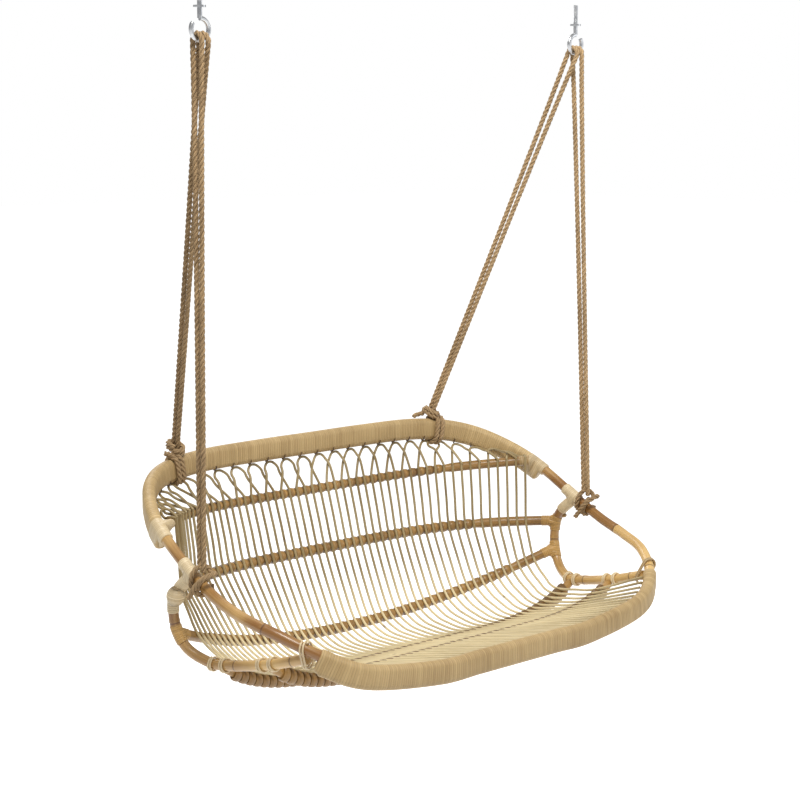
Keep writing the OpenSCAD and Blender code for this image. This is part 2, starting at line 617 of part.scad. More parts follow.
spindle_pair(12);  // spindle_pair_12
spindle_pair(13);  // spindle_pair_13
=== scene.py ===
"""Looks of a hanging rattan bench: bound bands, poles, rails, loops of spindles and laid ropes.

Lengths are in millimetres, as a cane worker measures them, until a mesh is made in metres.
The ceiling is z = 0, the front faces -y, and the left half is the right half's mirror image.
"""

import logging
import math
from dataclasses import dataclass, field
from enum import Enum
from typing import Iterable, Sequence

import bpy
import numpy as np
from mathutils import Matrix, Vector


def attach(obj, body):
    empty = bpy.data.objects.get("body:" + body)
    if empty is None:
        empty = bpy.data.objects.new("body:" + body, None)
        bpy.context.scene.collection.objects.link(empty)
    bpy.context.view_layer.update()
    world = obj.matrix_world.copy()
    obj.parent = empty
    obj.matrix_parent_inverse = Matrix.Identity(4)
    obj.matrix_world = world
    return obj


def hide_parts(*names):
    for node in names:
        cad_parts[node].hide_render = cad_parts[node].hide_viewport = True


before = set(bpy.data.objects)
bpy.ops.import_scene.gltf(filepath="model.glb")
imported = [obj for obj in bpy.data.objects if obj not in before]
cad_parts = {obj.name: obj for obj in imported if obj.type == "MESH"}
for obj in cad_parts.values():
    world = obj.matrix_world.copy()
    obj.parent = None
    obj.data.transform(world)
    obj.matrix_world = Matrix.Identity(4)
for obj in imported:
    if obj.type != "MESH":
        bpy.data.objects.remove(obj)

LOG = logging.getLogger("bench")
METRES = 0.001
ACROSS = np.array([1.0, 0.0, 0.0])
UP = np.array([0.0, 0.0, 1.0])
MIRROR = np.array([-1.0, 1.0, 1.0])
STRAIGHT = "straight"
MARKS = "marks"
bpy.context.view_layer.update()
# A heading that rises by more than this is steep, and its sides are found from ACROSS, not UP
STEEP = 0.8


class Body(str, Enum):
    """The two bodies that the bench's pieces ride on."""

    HOOKS = "ceiling_hooks"
    BENCH = "bench"


class Tip(Enum):
    """How a length of cane or rope ends."""

    CUT = "cut"
    ROUND = "round"


# Points and lines


def unit(v: np.ndarray) -> np.ndarray:
    """Returns v at a length of one."""
    return v / np.linalg.norm(v)


def square_to(t: np.ndarray, v: Sequence[float]) -> np.ndarray:
    """Returns the direction of v that is square to the unit vector t."""
    v = np.asarray(v, float)
    return unit(v - np.dot(v, t) * t)


def mix(a: float | Sequence[float], b: float | Sequence[float], w: float) -> np.ndarray:
    """Returns the number or the place at share w of the way from a to b."""
    return np.asarray(a, float) * (1 - w) + np.asarray(b, float) * w


def bell(s: np.ndarray, middle: float, width: float) -> np.ndarray:
    """Returns a bump of height one round middle, that has faded out two widths away."""
    return np.exp(-(((s - middle) / width) ** 2))


def smooth(points: Iterable[Sequence[float]], cuts: int) -> np.ndarray:
    """Draws a smooth line through points.

    Args:
        points: The places that the line passes through.
        cuts: The number of parts that each step is cut into.

    Returns:
        The finer line's points.
    """
    p = np.array([np.asarray(q, float) for q in points])
    held = np.vstack([2 * p[0] - p[1], p, 2 * p[-1] - p[-2]])
    t = np.arange(cuts)[:, None] / cuts
    parts = []
    for i in range(len(p) - 1):
        a, b, c, d = held[i : i + 4]
        bend = (2 * a - 5 * b + 4 * c - d) * t**2 + (3 * b - a - 3 * c + d) * t**3
        parts.append(0.5 * (2 * b + (c - a) * t + bend))
    return np.vstack(parts + [p[-1:]])


# How far from each kind of tip, in radii, and the share of the full radius there
TIP_STEPS = {
    Tip.CUT: ((0, 0.9), (0.1, 1)),
    Tip.ROUND: ((0, 0.35), (0.18, 0.72), (0.55, 0.95), (1, 1)),
}


class Line:
    """A line of points measured along its length; a negative length is on the left half."""

    def __init__(self, points: Iterable[Sequence[float]]) -> None:
        """Measures the points.

        Args:
            points: The places that the line passes through, in order.
        """
        self.points = np.array([np.asarray(q, float) for q in points])
        steps = np.linalg.norm(np.diff(self.points, axis=0), axis=1)
        self.run = np.concatenate([[0.0], np.cumsum(steps)])
        self.length = float(self.run[-1])

    def at(self, s: float) -> np.ndarray:
        """Finds the place at a length along the line.

        Args:
            s: The length, below 0 on the left half.

        Returns:
            The place.
        """
        p = np.array([np.interp(abs(s), self.run, self.points[:, c]) for c in range(3)])
        p[0] *= math.copysign(1, s)
        return p

    def heading(self, s: float) -> np.ndarray:
        """Returns the direction in which the line runs at length s."""
        near = 4
        return unit(self.at(s + near) - self.at(s - near))

    def level(self, s: float) -> np.ndarray:
        """Returns the level direction square to the line at length s."""
        return unit(np.cross(self.heading(s), UP))

    def upright(self, s: float) -> np.ndarray:
        """Returns the upward direction square to the line at length s."""
        return np.cross(self.level(s), self.heading(s))

    def nearest(self, p: np.ndarray) -> np.ndarray:
        """Returns the line's point that is nearest to p."""
        return self.points[np.argmin(np.linalg.norm(self.points - p, axis=1))]

    def between(self, a: float, b: float, step: float) -> np.ndarray:
        """Returns places from length a to length b, about a step apart."""
        count = max(2, round(abs(b - a) / step) + 1)
        return np.array([self.at(s) for s in np.linspace(a, b, count)])


def winding(
    line: Line,
    start: float,
    pitch: float,
    radius: float,
    turns: tuple[float, float],
    half: tuple[float, float] = (0, 0),
    steps: int = 20,
) -> np.ndarray:
    """Lays turns round a line.

    Args:
        line: The line that the turns go round.
        start: The length along it where turn 0 is.
        pitch: The advance in each turn.
        radius: The distance of the turns' middle from the line.
        turns: The first and the last turn.
        half: Half the gap between two poles that the turns go round, sideways and upwards.
        steps: The number of points in a turn.

    Returns:
        The points of the turns.
    """
    first, last = turns
    steep = abs(line.heading(start + pitch * (first + last) / 2)[2]) > STEEP
    points = []
    for turn in np.linspace(first, last, round((last - first) * steps) + 1):
        s = start + turn * pitch
        t = line.heading(s)
        w = unit(np.cross(t, ACROSS if steep else UP))
        u = np.cross(w, t)
        q = math.tau * turn + math.pi / 2
        side = 1 if math.cos(q) * half[0] + math.sin(q) * half[1] > 0 else -1
        off = radius * (math.cos(q) * w + math.sin(q) * u) + side * (half[0] * w + half[1] * u)
        points.append(line.at(s) + off)
    return np.array(points)


# The bench's lines, from its driving sizes


@dataclass
class BenchLines:
    """Every line that the bench is bent, bound and hung along.

    Lengths run from the middle of the back along half the ring, and from the top down the side
    pole. A field that ends in share gives a place as a share of that length. leg_lead is how
    far a leg runs straight on above the upper rail before it turns into its loop.
    """

    hook_spacing: float = 1138
    throat_drop: float = 70
    rope_r: float = 6
    hitch_pitch: float = 14
    half_w: float = 603
    back_y: float = 334
    front_y: float = -363
    corner_y: float = -1
    back_flat: float = 330
    front_flat: float = 240
    top_drop: float = 923
    arm_drop: float = 1110
    front_drop: float = 1300
    pole_r: float = 12
    side_r: float = 11.5
    upper_rail_r: float = 8.5
    back_rail_r: float = 10
    seat_rail_r: float = 10.5
    binding_t: float = 2.5
    cane_r: float = 2.2
    spindle_r: float = 3.1
    loop_reach: float = 19.5
    leg_lead: float = 11
    seat_gap: float = 0.35
    pairs: int = 13
    band_end_share: float = 0.4152
    front_band_share: float = 0.6968
    side_from_share: float = 0.4835
    side_to_share: float = 0.6803
    arm_hold: float = 32
    front_rope_off: float = 44
    rear_wrap_pitches: int = 16
    upper_share: float = 0.401
    middle_share: float = 0.15
    lower_share: float = 0.282
    rear_share: float = 0.5145
    fore_share: float = 0.785
    ring: Line = field(init=False)
    side: Line = field(init=False)

    def __post_init__(self) -> None:
        """Works out the ring, the side pole, the rails and the pitches of the legs."""
        self.hook_z = -self.throat_drop
        self.sleeve_r = self.pole_r + self.seat_gap + self.binding_t
        self.pole_step = 2 * self.pole_r + self.seat_gap
        self.ring = Line(smooth(self._ring_points(), 24))
        length = self.ring.length
        self.band_end = self.band_end_share * length
        self.front_band_start = self.front_band_share * length
        self.side_from = self.side_from_share * length
        self.side_to = self.side_to_share * length
        self.front_rope_at = self.side_from + self.front_rope_off
        self.front = Line(self.ring.points[::-1])
        self.front_reach = length - self.front_band_start
        self.side = Line(smooth(self._side_points(), 12))
        self._rails()
        self._pitches()

    def leg_pitch(self, rail: str) -> float:
        """Returns the distance between the legs along one of the back's rails."""
        return {"upper_rail": self.upper_pitch, "middle_rail": self.middle_pitch,
                "lower_rail": self.lower_pitch}[rail]

    def _ring_points(self) -> list[Sequence[float]]:
        """Sets out the ring, from the middle of the back to that of the front.

        Returns:
            Its shaping points on the right half.
        """
        top, arm, low = (self.hook_z - d for d in (self.top_drop, self.arm_drop, self.front_drop))
        # Degrees round the corner, and the share of the fall that is reached there
        back = [(0, 0.02), (20, 0.09), (40, 0.215), (60, 0.425), (75, 0.655), (90, 1)]
        fore = [(5, 0.195), (15, 0.325), (30, 0.45), (50, 0.66), (70, 0.865), (90, 0.995)]
        back_power, fore_power = 0.8, 0.625
        points = [(0, self.back_y, top), (self.back_flat / 2, self.back_y, top)]
        for degrees, fall in back:
            s, c = math.sin(math.radians(degrees)), max(0, math.cos(math.radians(degrees)))
            points.append((self.back_flat + (self.half_w - self.back_flat) * s**back_power,
                           self.corner_y + (self.back_y - self.corner_y) * c**back_power,
                           top * (1 - fall) + arm * fall))
        for degrees, fall in fore:
            s, c = math.sin(math.radians(degrees)), max(0, math.cos(math.radians(degrees)))
            points.append((self.front_flat + (self.half_w - self.front_flat) * c**fore_power,
                           self.corner_y + (self.front_y - self.corner_y) * s**fore_power,
                           arm * (1 - fall) + low * fall))
        return points + [(self.front_flat / 2, self.front_y, low), (0, self.front_y, low)]

    def _side_points(self) -> list[np.ndarray]:
        """Sets out the side pole, from below the arm to the front corner.

        Returns:
            Its shaping points on the right half.
        """
        ring, slant = self.ring, 0.34
        start = ring.at(self.side_from) + (self.pole_r + self.seat_gap + slant * self.side_r) * (
            square_to(ring.heading(self.side_from), (0, 1, -0.9)))
        end = ring.at(self.side_to) + (self.pole_r + self.side_r + self.seat_gap) * (
            square_to(ring.heading(self.side_to), (-0.45, 0.1, -0.85)))
        fall = start[2] - (self.hook_z - self.front_drop - 3)
        # Outwards and backwards from the start, and the share of the fall
        bend = [(0, 34, 0.154), (2, 54, 0.33), (-3, 54, 0.615), (-14, 32, 0.852),
                (-32, -8, 0.978), (-45, -55, 1)]
        points = [start] + [start + np.array([x, y, -share * fall]) for x, y, share in bend]
        return points + [mix(points[-1], end, 0.5) - 6 * UP, end]

    def _rail(self, middle: tuple[float, float], end: np.ndarray, bend: float,
              rise: float) -> np.ndarray:
        """Bends half a rail.

        Args:
            middle: The depth and the height of the rail's middle.
            end: Its right end.
            bend: The power of its bend forward.
            rise: The power of its rise.

        Returns:
            The points from its middle to its end.
        """
        w = np.linspace(0, 1, 61)
        y = middle[0] + (end[1] - middle[0]) * w**bend
        z = middle[1] + (end[2] - middle[1]) * w**rise
        return np.stack([end[0] * w, y, z], axis=1)

    def _side_rail(self, middle: tuple[float, float], s: float, bend: float, rise: float,
                   radius: float) -> Line:
        """Bends half a rail that stops short of the side pole that it meets.

        Args:
            middle: The depth and the height of the rail's middle.
            s: The length along the side pole where it meets it.
            bend: The power of its bend forward.
            rise: The power of its rise.
            radius: The rail's radius.

        Returns:
            The rail's right half.
        """
        points = self._rail(middle, self.side.at(s), bend, rise)
        t = unit(points[-1] - points[-2])
        cut = self.side_r + self.seat_gap + radius * abs(np.dot(t, self.side.heading(s)))
        whole = Line(points)
        return Line(whole.between(0, whole.length - cut, 8))

    def _rails(self) -> None:
        """Sets the half lines of the five rails."""
        side, z = self.side, self.hook_z
        top, low = self.top_drop, self.front_drop
        at = self.upper_share * self.ring.length
        end = self.ring.at(at) + 8 * UP + (self.sleeve_r + self.upper_rail_r) * self.ring.level(at)
        upper_middle = (self.back_y - 10, z - mix(top, low, 0.332))
        self.upper = Line(self._rail(upper_middle, end, bend=3.5, rise=3))
        self.middle_from = self.middle_share * side.length
        self.lower_from = self.lower_share * side.length
        self.rear_from = self.rear_share * side.length
        self.fore_from = self.fore_share * side.length
        self.middle = self._side_rail((self.back_y - 53, z - mix(top, low, 0.7)), self.middle_from,
                                      bend=4, rise=4, radius=self.back_rail_r)
        self.lower = self._side_rail((self.back_y - 142, z - low - 63), self.lower_from,
                                     bend=2.4, rise=2.2, radius=self.back_rail_r)
        seat_middle = mix(self.front_y, self.back_y, 0.49)
        self.rear = self._side_rail((seat_middle, z - low - 85), self.rear_from,
                                    bend=2, rise=5, radius=self.seat_rail_r)
        self.fore = self._side_rail((self.front_y + 200, z - low - 48), self.fore_from,
                                    bend=2, rise=6, radius=self.seat_rail_r)

    def _pitches(self) -> None:
        """Sets the pitches of the legs along the bands and the rails.

        The number taken off each length is the bare stretch beyond its last leg or loop.
        """
        self.last_leg = 2 * self.pairs - 0.5
        self.band_pitch = (self.band_end - 86) / (2 * self.pairs - 1)
        self.upper_pitch = (self.upper.length - 12) / self.last_leg
        self.middle_pitch = (self.middle.length - 63) / self.last_leg
        self.lower_pitch = (self.lower.length - 51) / self.last_leg
        self.rear_pitch = (self.rear.length - 41) / self.last_leg
        self.fore_pitch = (self.fore.length - 41) / self.last_leg
        self.edge_pitch = (self.front_reach - 16) / self.last_leg
        self.rear_wrap_at = self.rear_wrap_pitches * self.band_pitch
        self.rear_rope_at = self.rear_wrap_at - self.hitch_pitch / 2

    def under(self, line: Line, reach: float) -> Line:
        """Returns the line of a band's lower pole, from end to end."""
        places = np.linspace(-reach, reach, 241)
        return Line([line.at(s) - self.pole_step * line.upright(s) for s in places])

    def seated(self, line: Line, s: float, radius: float, along: np.ndarray) -> np.ndarray:
        """Returns where a leg that runs along lies on a rail, on the sitter's side."""
        off = unit(np.cross(along, line.heading(s)))
        return line.at(s) + (radius + self.spindle_r + self.seat_gap) * off

    def crossings(self, q: float) -> list[np.ndarray]:
        """Finds where a leg lies on the five rails.

        Args:
            q: The leg's number, counted from the middle.

        Returns:
            The leg's middle at each rail, from the top down the back and along the seat.
        """
        rails = ((self.upper, self.upper_pitch, self.upper_rail_r),
                 (self.middle, self.middle_pitch, self.back_rail_r),
                 (self.lower, self.lower_pitch, self.back_rail_r),
                 (self.rear, self.rear_pitch, self.seat_rail_r),
                 (self.fore, self.fore_pitch, self.seat_rail_r))
        places = [line.at(q * pitch) for line, pitch, _ in rails]
        # At each rail the leg is headed from the place before it to the one after it
        places = [places[0], *places, self.front.at(q * self.edge_pitch)]
        return [self.seated(line, q * pitch, radius, unit(after - before))
                for (line, pitch, radius), before, after in zip(rails, places, places[2:])]

    def band_edge(self, s: float) -> np.ndarray:
        """Finds the top of a loop, below the back band or on its inner face near its ends.

        Args:
            s: The length along the ring.

        Returns:
            The place of the loop's middle line.
        """

        def share(a: float, b: float) -> float:
            """Returns how far s is from a to b, from 0 to 1."""
            return min(1, max(0, (abs(s) - a) / (b - a)))

        # Towards the band's end the loop turns from its lower edge to its face, and climbs
        room = self.sleeve_r / math.cos(math.pi / 10) + self.seat_gap + self.spindle_r
        q = math.radians(80 * share(self.band_end - 260, self.band_end - 110))
        climb = 0.9 * share(self.band_end - 200, self.band_end - 90)
        down = self.pole_step * (1 - climb) + room * math.cos(q)
        inwards = (room + 2 * climb) * math.sin(q)
        return self.ring.at(s) - down * self.ring.upright(s) + inwards * self.ring.level(s)

    def _edge_end(self, q: float, before: np.ndarray) -> np.ndarray:
        """Finds the front end of a leg, at the inner face of the front band.

        Args:
            q: The leg's number.
            before: The place on the front seat rail that it comes from.

        Returns:
            The end of its middle line.
        """
        s = q * self.edge_pitch
        p, t = self.front.at(s), self.front.heading(s)
        inwards = -unit(np.cross(t, UP))
        room = self.sleeve_r + 2 * self.seat_gap + self.spindle_r * abs(np.dot(t, unit(p - before)))
        return p + room * inwards + 5 * UP

    def _leg(self, q: float) -> list[np.ndarray]:
        """Sets out a leg, from above the upper rail down the back and along the seat.

        Args:
            q: The leg's number.

        Returns:
            Its shaping points.
        """
        upper, middle, lower, rear, fore = self.crossings(q)
        sag = 0.11 * np.linalg.norm(rear - lower)
        turned = upper + self.leg_lead * unit(upper - middle)
        dish = smooth([middle, lower, mix(lower, rear, 0.5) - sag * UP, rear, fore], 2)
        return [turned, upper, mix(upper, middle, 0.5), *dish[:-1], fore, self._edge_end(q, fore)]

    def _pushed(self, s: float) -> float:
        """Returns s, moved off the rope that is wrapped round the band there."""
        room, d = 17.2, s - self.rear_wrap_at
        return self.rear_wrap_at + math.copysign(room, d) if abs(d) < room else s

    def _half_loop(self, centre: float, side: int) -> list[np.ndarray]:
        """Sets out half a loop, from beside its top down to the upper rail.

        Args:
            centre: The length along the ring where the loop's top is.
            side: 1 for the half away from the bench's middle, -1 for the other.

        Returns:
            Its shaping points.
        """
        points = []
        # How far along the band, the share of the way down to the rail, and the lift that
        # takes the leg over its neighbour
        steps = ((side * 10, 0.04, 0), (side * self.loop_reach, 0.2, 0),
                 (side * self.band_pitch, 0.45, side * (self.spindle_r + 1.6)))
        for away, w, lift in steps:
            s = self._pushed(centre + away) if w < 0.3 else centre + away
            u = s * self.upper_pitch / self.band_pitch
            p, drop = self.band_edge(s), unit(self.middle.at(u) - self.upper.at(u))
            seat = self.seated(self.upper, u, self.upper_rail_r, drop)
            off = unit(np.cross(unit(seat - p), self.upper.heading(u)))
            points.append(mix(p, seat + self.leg_lead * UP, w) + lift * off)
        return points

    def hairpin(self, k: int) -> np.ndarray:
        """Bends one spindle: up one leg, round its loop and down another leg.

        Args:
            k: The spindle's number, counted from the middle.

        Returns:
            The points of its middle line.
        """
        centre = (2 * k - 1) * self.band_pitch
        inner, outer = 2 * k - 2.5, min(2 * k + 0.5, self.last_leg)
        points = (self._leg(inner)[::-1] + self._half_loop(centre, -1)[::-1]
                  + [self.band_edge(centre)] + self._half_loop(centre, 1) + self._leg(outer))
        return smooth(points, 6)


# Lengths of cane and rope, as meshes

# The size that a flat strip's tip is chamfered by
FLAT_TIP = 1.5
# Edges that turn by more than this stay sharp
SHARP_ANGLE = math.radians(50)
# How far apart in the grain two lengths of one piece lie
GRAIN_APART = 977
# The share of its width by which a wound strip's grain changes across it
WOUND_GRAIN = 0.05


@dataclass
class Strand:
    """One length of cane, pole or rope strand.

    points is its middle line, radius one number or one for each point, sides the corners of
    its outline, outline an optional closed shape in place of a circle, or one for each point,
    ups the outline's upward direction at each point where it mustn't roll, and tint, ring and
    shade the marks that its finish reads: light or dark, a joint of the cane, and painted shade.
    wound is set where the grain runs round the line and not along it.
    """

    points: np.ndarray
    radius: float | np.ndarray
    sides: int = 12
    outline: np.ndarray | None = None
    start: Sequence[float] = (0, 0, 1)
    ups: np.ndarray | None = None
    tip: Tip = Tip.CUT
    tint: float | np.ndarray = 0.5
    ring: float | np.ndarray = 0.0
    shade: float | np.ndarray = 0.0
    wound: bool = False

    def mirrored(self) -> "Strand":
        """Copies the length to the other half of the bench.

        Returns:
            The mirrored length.
        """
        twin = Strand(**vars(self))
        twin.points = self.points * MIRROR
        twin.start = np.asarray(self.start, float) * MIRROR
        if self.ups is not None:
            twin.ups = self.ups * MIRROR
        if self.outline is not None:
            twin.outline = (self.outline * np.array([1, -1]))[..., ::-1, :]
        return twin

    def tipped(self) -> "Strand":
        """Chamfers or rounds the ends over a short stretch.

        Returns:
            The length with its ends shaped.
        """
        n, p = len(self.points), self.points
        radius = np.broadcast_to(np.asarray(self.radius, float), (n,))
        size = float(radius[0]) if self.outline is None else FLAT_TIP
        steps = TIP_STEPS[self.tip]
        run = np.concatenate([[0.0], np.cumsum(np.linalg.norm(np.diff(p, axis=0), axis=1))])
        inner = (run > size) & (run < run[-1] - size)
        kept = np.concatenate([[0] * len(steps), np.flatnonzero(inner), [n - 1] * len(steps)])
        stops = np.concatenate([[share * size for share, _ in steps], run[inner],
                                [run[-1] - share * size for share, _ in steps][::-1]])
        points = np.stack([np.interp(stops, run, p[:, c]) for c in range(3)], axis=1)
        scale = np.array([r for _, r in steps])
        factor = np.concatenate([scale, np.ones(int(inner.sum())), scale[::-1]])
        marks = {name: np.broadcast_to(np.asarray(getattr(self, name), float), (n,))[kept]
                 for name in ("tint", "ring", "shade")}
        outline = self.outline
        if outline is not None and outline.ndim == 3:
            outline = outline[kept]
        ups = None if self.ups is None else self.ups[kept]
        return Strand(points, radius[kept] * factor, self.sides, outline, self.start, ups,
                      self.tip, **marks, wound=self.wound)

    def frames(self) -> tuple[np.ndarray, np.ndarray]:
        """Carries two directions along the line without twist.

        Returns:
            The two directions square to the line, for each point.
        """
        p = self.points
        t = np.gradient(p, axis=0)
        t /= np.linalg.norm(t, axis=1)[:, None]
        if self.ups is not None:
            u = self.ups - np.sum(self.ups * t, axis=1)[:, None] * t
            u /= np.linalg.norm(u, axis=1)[:, None]
            return u, np.cross(t, u)
        u = np.empty_like(t)
        u[0] = square_to(t[0], self.start)
        for i in range(1, len(t)):
            v = u[i - 1] - np.dot(u[i - 1], t[i]) * t[i]
            u[i] = v / np.linalg.norm(v)
        return u, np.cross(t, u)


# Across one strip of a binding, the share of its width and how far it lies in there
STRIP_STEPS = ((0.0, -0.55), (0.14, -0.08), (0.5, 0.0), (0.86, -0.08))
# The painted shade in the seam beside each strip, and in the groove beside each bead
SEAM_PAINTED_SHADE = 0.4
GROOVE_PAINTED_SHADE = 1.6
# The power that rounds a bead
BEAD_POWER = 0.6
# The share of the cover at a binding's very edge, and over what length it reaches its full size
EDGE_COVER = 0.35
EDGE_REACH = 3
# How far past the end of a bound pole a binding keeps its size
TAPER_FROM = 3


@dataclass
class Binding:
    """Flat cane strips wound tightly round one pole, or round all the poles of a joint.

    line is the pole that the strips advance along and radius its size. others are the poles
    bound to it, as lines with their sizes; past the end of one, the binding tapers off. cover
    is its thickness, strip the width of one strip of cane, corners the number in its outline,
    and spread the variation of the strips' tints. Where swell isn't 0, the binding swells into
    beads, one to each pitch, with the top of one at peak.
    """

    line: Line
    radius: float
    others: Sequence[tuple[Line, float]] = ()
    cover: float = 2.5
    strip: float = 4.8
    corners: int = 30
    taper: float = 0.75
    tint: float = 0.6
    spread: float = 0.07
    swell: float = 0.0
    pitch: float = 1.0
    peak: float = 0.0

    def _outline(self, s: float, cover: float) -> tuple[np.ndarray, np.ndarray]:
        """Draws the binding tight round its poles at one place.

        Args:
            s: The length along the line.
            cover: How far the binding stands off the poles.

        Returns:
            The upward direction there, and the outline's points in that frame.
        """
        o, t = self.line.at(s), self.line.heading(s)
        up = square_to(t, ACROSS if abs(t[2]) > STEEP else UP)
        w = np.cross(t, up)
        discs = [(0.0, 0.0, self.radius)]
        for other, size in self.others:
            away = other.nearest(o) - o
            left = size - self.taper * max(0.0, abs(float(np.dot(away, t))) - TAPER_FROM)
            if left > 0:
                discs.append((float(np.dot(away, up)), float(np.dot(away, w)), left))
        centres, sizes = np.array([d[:2] for d in discs]), np.array([d[2] for d in discs])
        q = (np.arange(self.corners) + 0.5) * math.tau / self.corners
        out = np.stack([np.cos(q), np.sin(q)], axis=1)
        outmost = np.argmax(out @ centres.T + sizes, axis=1)
        return up, centres[outmost] + (sizes[outmost] + cover)[:, None] * out

    def strand(self, a: float, b: float, seed: int) -> Strand:
        """Winds the strips from length a to length b.

        Args:
            a: The length at which the binding starts.
            b: The length at which it ends.
            seed: The seed of the strips' tints.

        Returns:
            The binding, as one length with an outline for each point.
        """
        chance = np.random.default_rng(seed)
        count = max(2, round((b - a) / self.strip))
        width = (b - a) / count
        tones = np.clip(chance.normal(self.tint, self.spread, count), 0, 1)
        points, ups, outlines, tint, shade = [], [], [], [], []
        for i in range(count):
            for share, dip in STRIP_STEPS:
                s = a + (i + share) * width
                edge = min(s - a, b - s)
                bead = abs(math.cos(math.pi * (s - self.peak) / self.pitch)) ** BEAD_POWER
                thinned = self.cover * min(1, EDGE_COVER + edge / EDGE_REACH)
                cover = thinned + dip + self.swell * bead
                up, outline = self._outline(s, cover)
                points.append(self.line.at(s))
                ups.append(up)
                outlines.append(outline)
                tint.append(tones[i])
                # Painted shade darkens the seam at each strip's edge and the groove between beads
                groove = min(1, GROOVE_PAINTED_SHADE * (1 - bead)) if self.swell else 0
                shade.append(max(SEAM_PAINTED_SHADE if share == 0 else 0, groove))
        return Strand(np.array(points), 1, outline=np.array(outlines), ups=np.array(ups),
                      tint=np.array(tint), shade=np.array(shade), wound=True)


def strip_round(line: Line, pitch: float, turns: tuple[float, float], radius: float,
                size: tuple[float, float], tint: float, painted_shade: float) -> Strand:
    """Winds one wide flat strip round a rail.

    Args:
        line: The rail.
        pitch: The strip's advance in each turn.
        turns: The first and the last turn.
        radius: The distance of the strip's middle from the rail's.
        size: Half the strip's thickness and half its width.
        tint: Light or dark.
        painted_shade: How dark the strip is painted on top of the rail, as shade between the legs.

    Returns:
        The strip.
    """
    corners, square_power = 12, 0.8
    points = winding(line, 0, pitch, radius, turns, steps=24)
    places = np.linspace(*turns, len(points)) * pitch
    ups = points - np.array([line.at(s) for s in places])
    ups /= np.linalg.norm(ups, axis=1)[:, None]
    q = (np.arange(corners) + 0.5) * math.tau / corners
    across = np.sign(np.sin(q)) * np.abs(np.sin(q)) ** square_power
    outline = np.stack([size[0] * np.cos(q), size[1] * across], 1)
    # Painted shade lies where the strip faces upwards, under the legs
    shade = painted_shade * np.clip(1.5 * ups[:, 2] - 0.2, 0, 1)
    return Strand(points, 1, outline=outline, ups=ups, tint=tint, shade=shade)


def mesh_of(name: str, strands: Sequence[Strand]) -> bpy.types.Object:
    """Makes one piece from lengths of cane or rope.

    Args:
        name: The piece's name.
        strands: Its lengths, in millimetres.

    Returns:
        The mesh object, in metres, with the marks that the finishes read.
    """
    verts, faces, straight, marks, base = [], [], [], [], 0
    for i, strand in enumerate(strands):
        s = strand.tipped()
        n = len(s.points)
        u, w = s.frames()
        turn = np.arange(s.sides) * math.tau / s.sides
        shape = np.stack([np.cos(turn), np.sin(turn)], 1) if s.outline is None else s.outline
        shape = np.broadcast_to(shape, (n, *shape.shape[-2:]))
        m = shape.shape[1]
        size = np.broadcast_to(np.asarray(s.radius, float), (n,))[:, None, None]
        off = shape[:, :, 0:1] * u[:, None, :] + shape[:, :, 1:2] * w[:, None, :]
        ring = s.points[:, None, :] + size * off
        verts.append(ring.reshape(-1, 3))
        run = Line(s.points).run
        flat = np.empty((n, m, 3))
        if s.wound:
            flat[:, :, 0] = (size * shape)[:, :, 0]
            flat[:, :, 1] = run[:, None] + GRAIN_APART * i
            flat[:, :, 2] = WOUND_GRAIN * (size * shape)[:, :, 1]
        else:
            flat[:, :, 0] = run[:, None] + GRAIN_APART * i
            flat[:, :, 1:] = size * shape
        straight.append(flat.reshape(-1, 3))
        mark = np.stack([np.broadcast_to(np.asarray(value, float), (n,))
                         for value in (s.tint, s.ring, s.shade)], 1)
        marks.append(np.repeat(mark, m, axis=0))
        a = base + np.arange(n - 1)[:, None] * m + np.arange(m)[None, :]
        b = base + np.arange(n - 1)[:, None] * m + (np.arange(m)[None, :] + 1) % m
        faces += np.stack([a, b, b + m, a + m], -1).reshape(-1, 4).tolist()
        faces.append(list(range(base + m - 1, base - 1, -1)))
        faces.append(list(range(base + (n - 1) * m, base + n * m)))
        base += n * m
    mesh = bpy.data.meshes.new(name)
    mesh.from_pydata((np.vstack(verts) * METRES).tolist(), [], faces)
    for label, values in ((STRAIGHT, np.vstack(straight) * METRES), (MARKS, np.vstack(marks))):
        layer = mesh.attributes.new(label, "FLOAT_VECTOR", "POINT")
        layer.data.foreach_set("vector", values.ravel())
    mesh.shade_smooth()
    mesh.set_sharp_from_angle(angle=SHARP_ANGLE)
    piece = bpy.data.objects.new(name, mesh)
    bpy.context.scene.collection.objects.link(piece)
    return piece


def both_halves(strands: Sequence[Strand]) -> list[Strand]:
    """Returns the right half's lengths and their mirror images."""
    return [*strands, *(s.mirrored() for s in strands)]


# The length in which a rope's strand makes one full turn, and the step along it
ROPE_LAY = 38
ROPE_STEP = 3.2
# How far from the rope's middle its strands run and how thick they are, in rope radii
STRAND_OFF = 0.53
STRAND_SIZE = 0.5
# How much a strand's thickness varies, in rope radii, and over what length
STRAND_UNEVEN = 0.012
UNEVEN_LENGTH = 17


def laid(points: np.ndarray, radius: float, tint: float = 0.5) -> list[Strand]:
    """Lays three strands into a rope.

    Args:
        points: The rope's middle line.
        radius: The rope's radius.
        tint: Light or dark.

    Returns:
        The three strands.
    """
    line = Strand(resampled(points, ROPE_STEP), 1)
    u, w = line.frames()
    run = Line(line.points).run
    strands = []
    for k in range(3):
        q = math.tau * (run / ROPE_LAY + k / 3)
        off = np.cos(q)[:, None] * u + np.sin(q)[:, None] * w
        helix = line.points + STRAND_OFF * radius * off
        uneven = STRAND_UNEVEN * np.sin(run / UNEVEN_LENGTH + 2 * k)
        swell = radius * (STRAND_SIZE + uneven)
        strands.append(Strand(helix, swell, 9, tint=tint, tip=Tip.ROUND))
    return strands


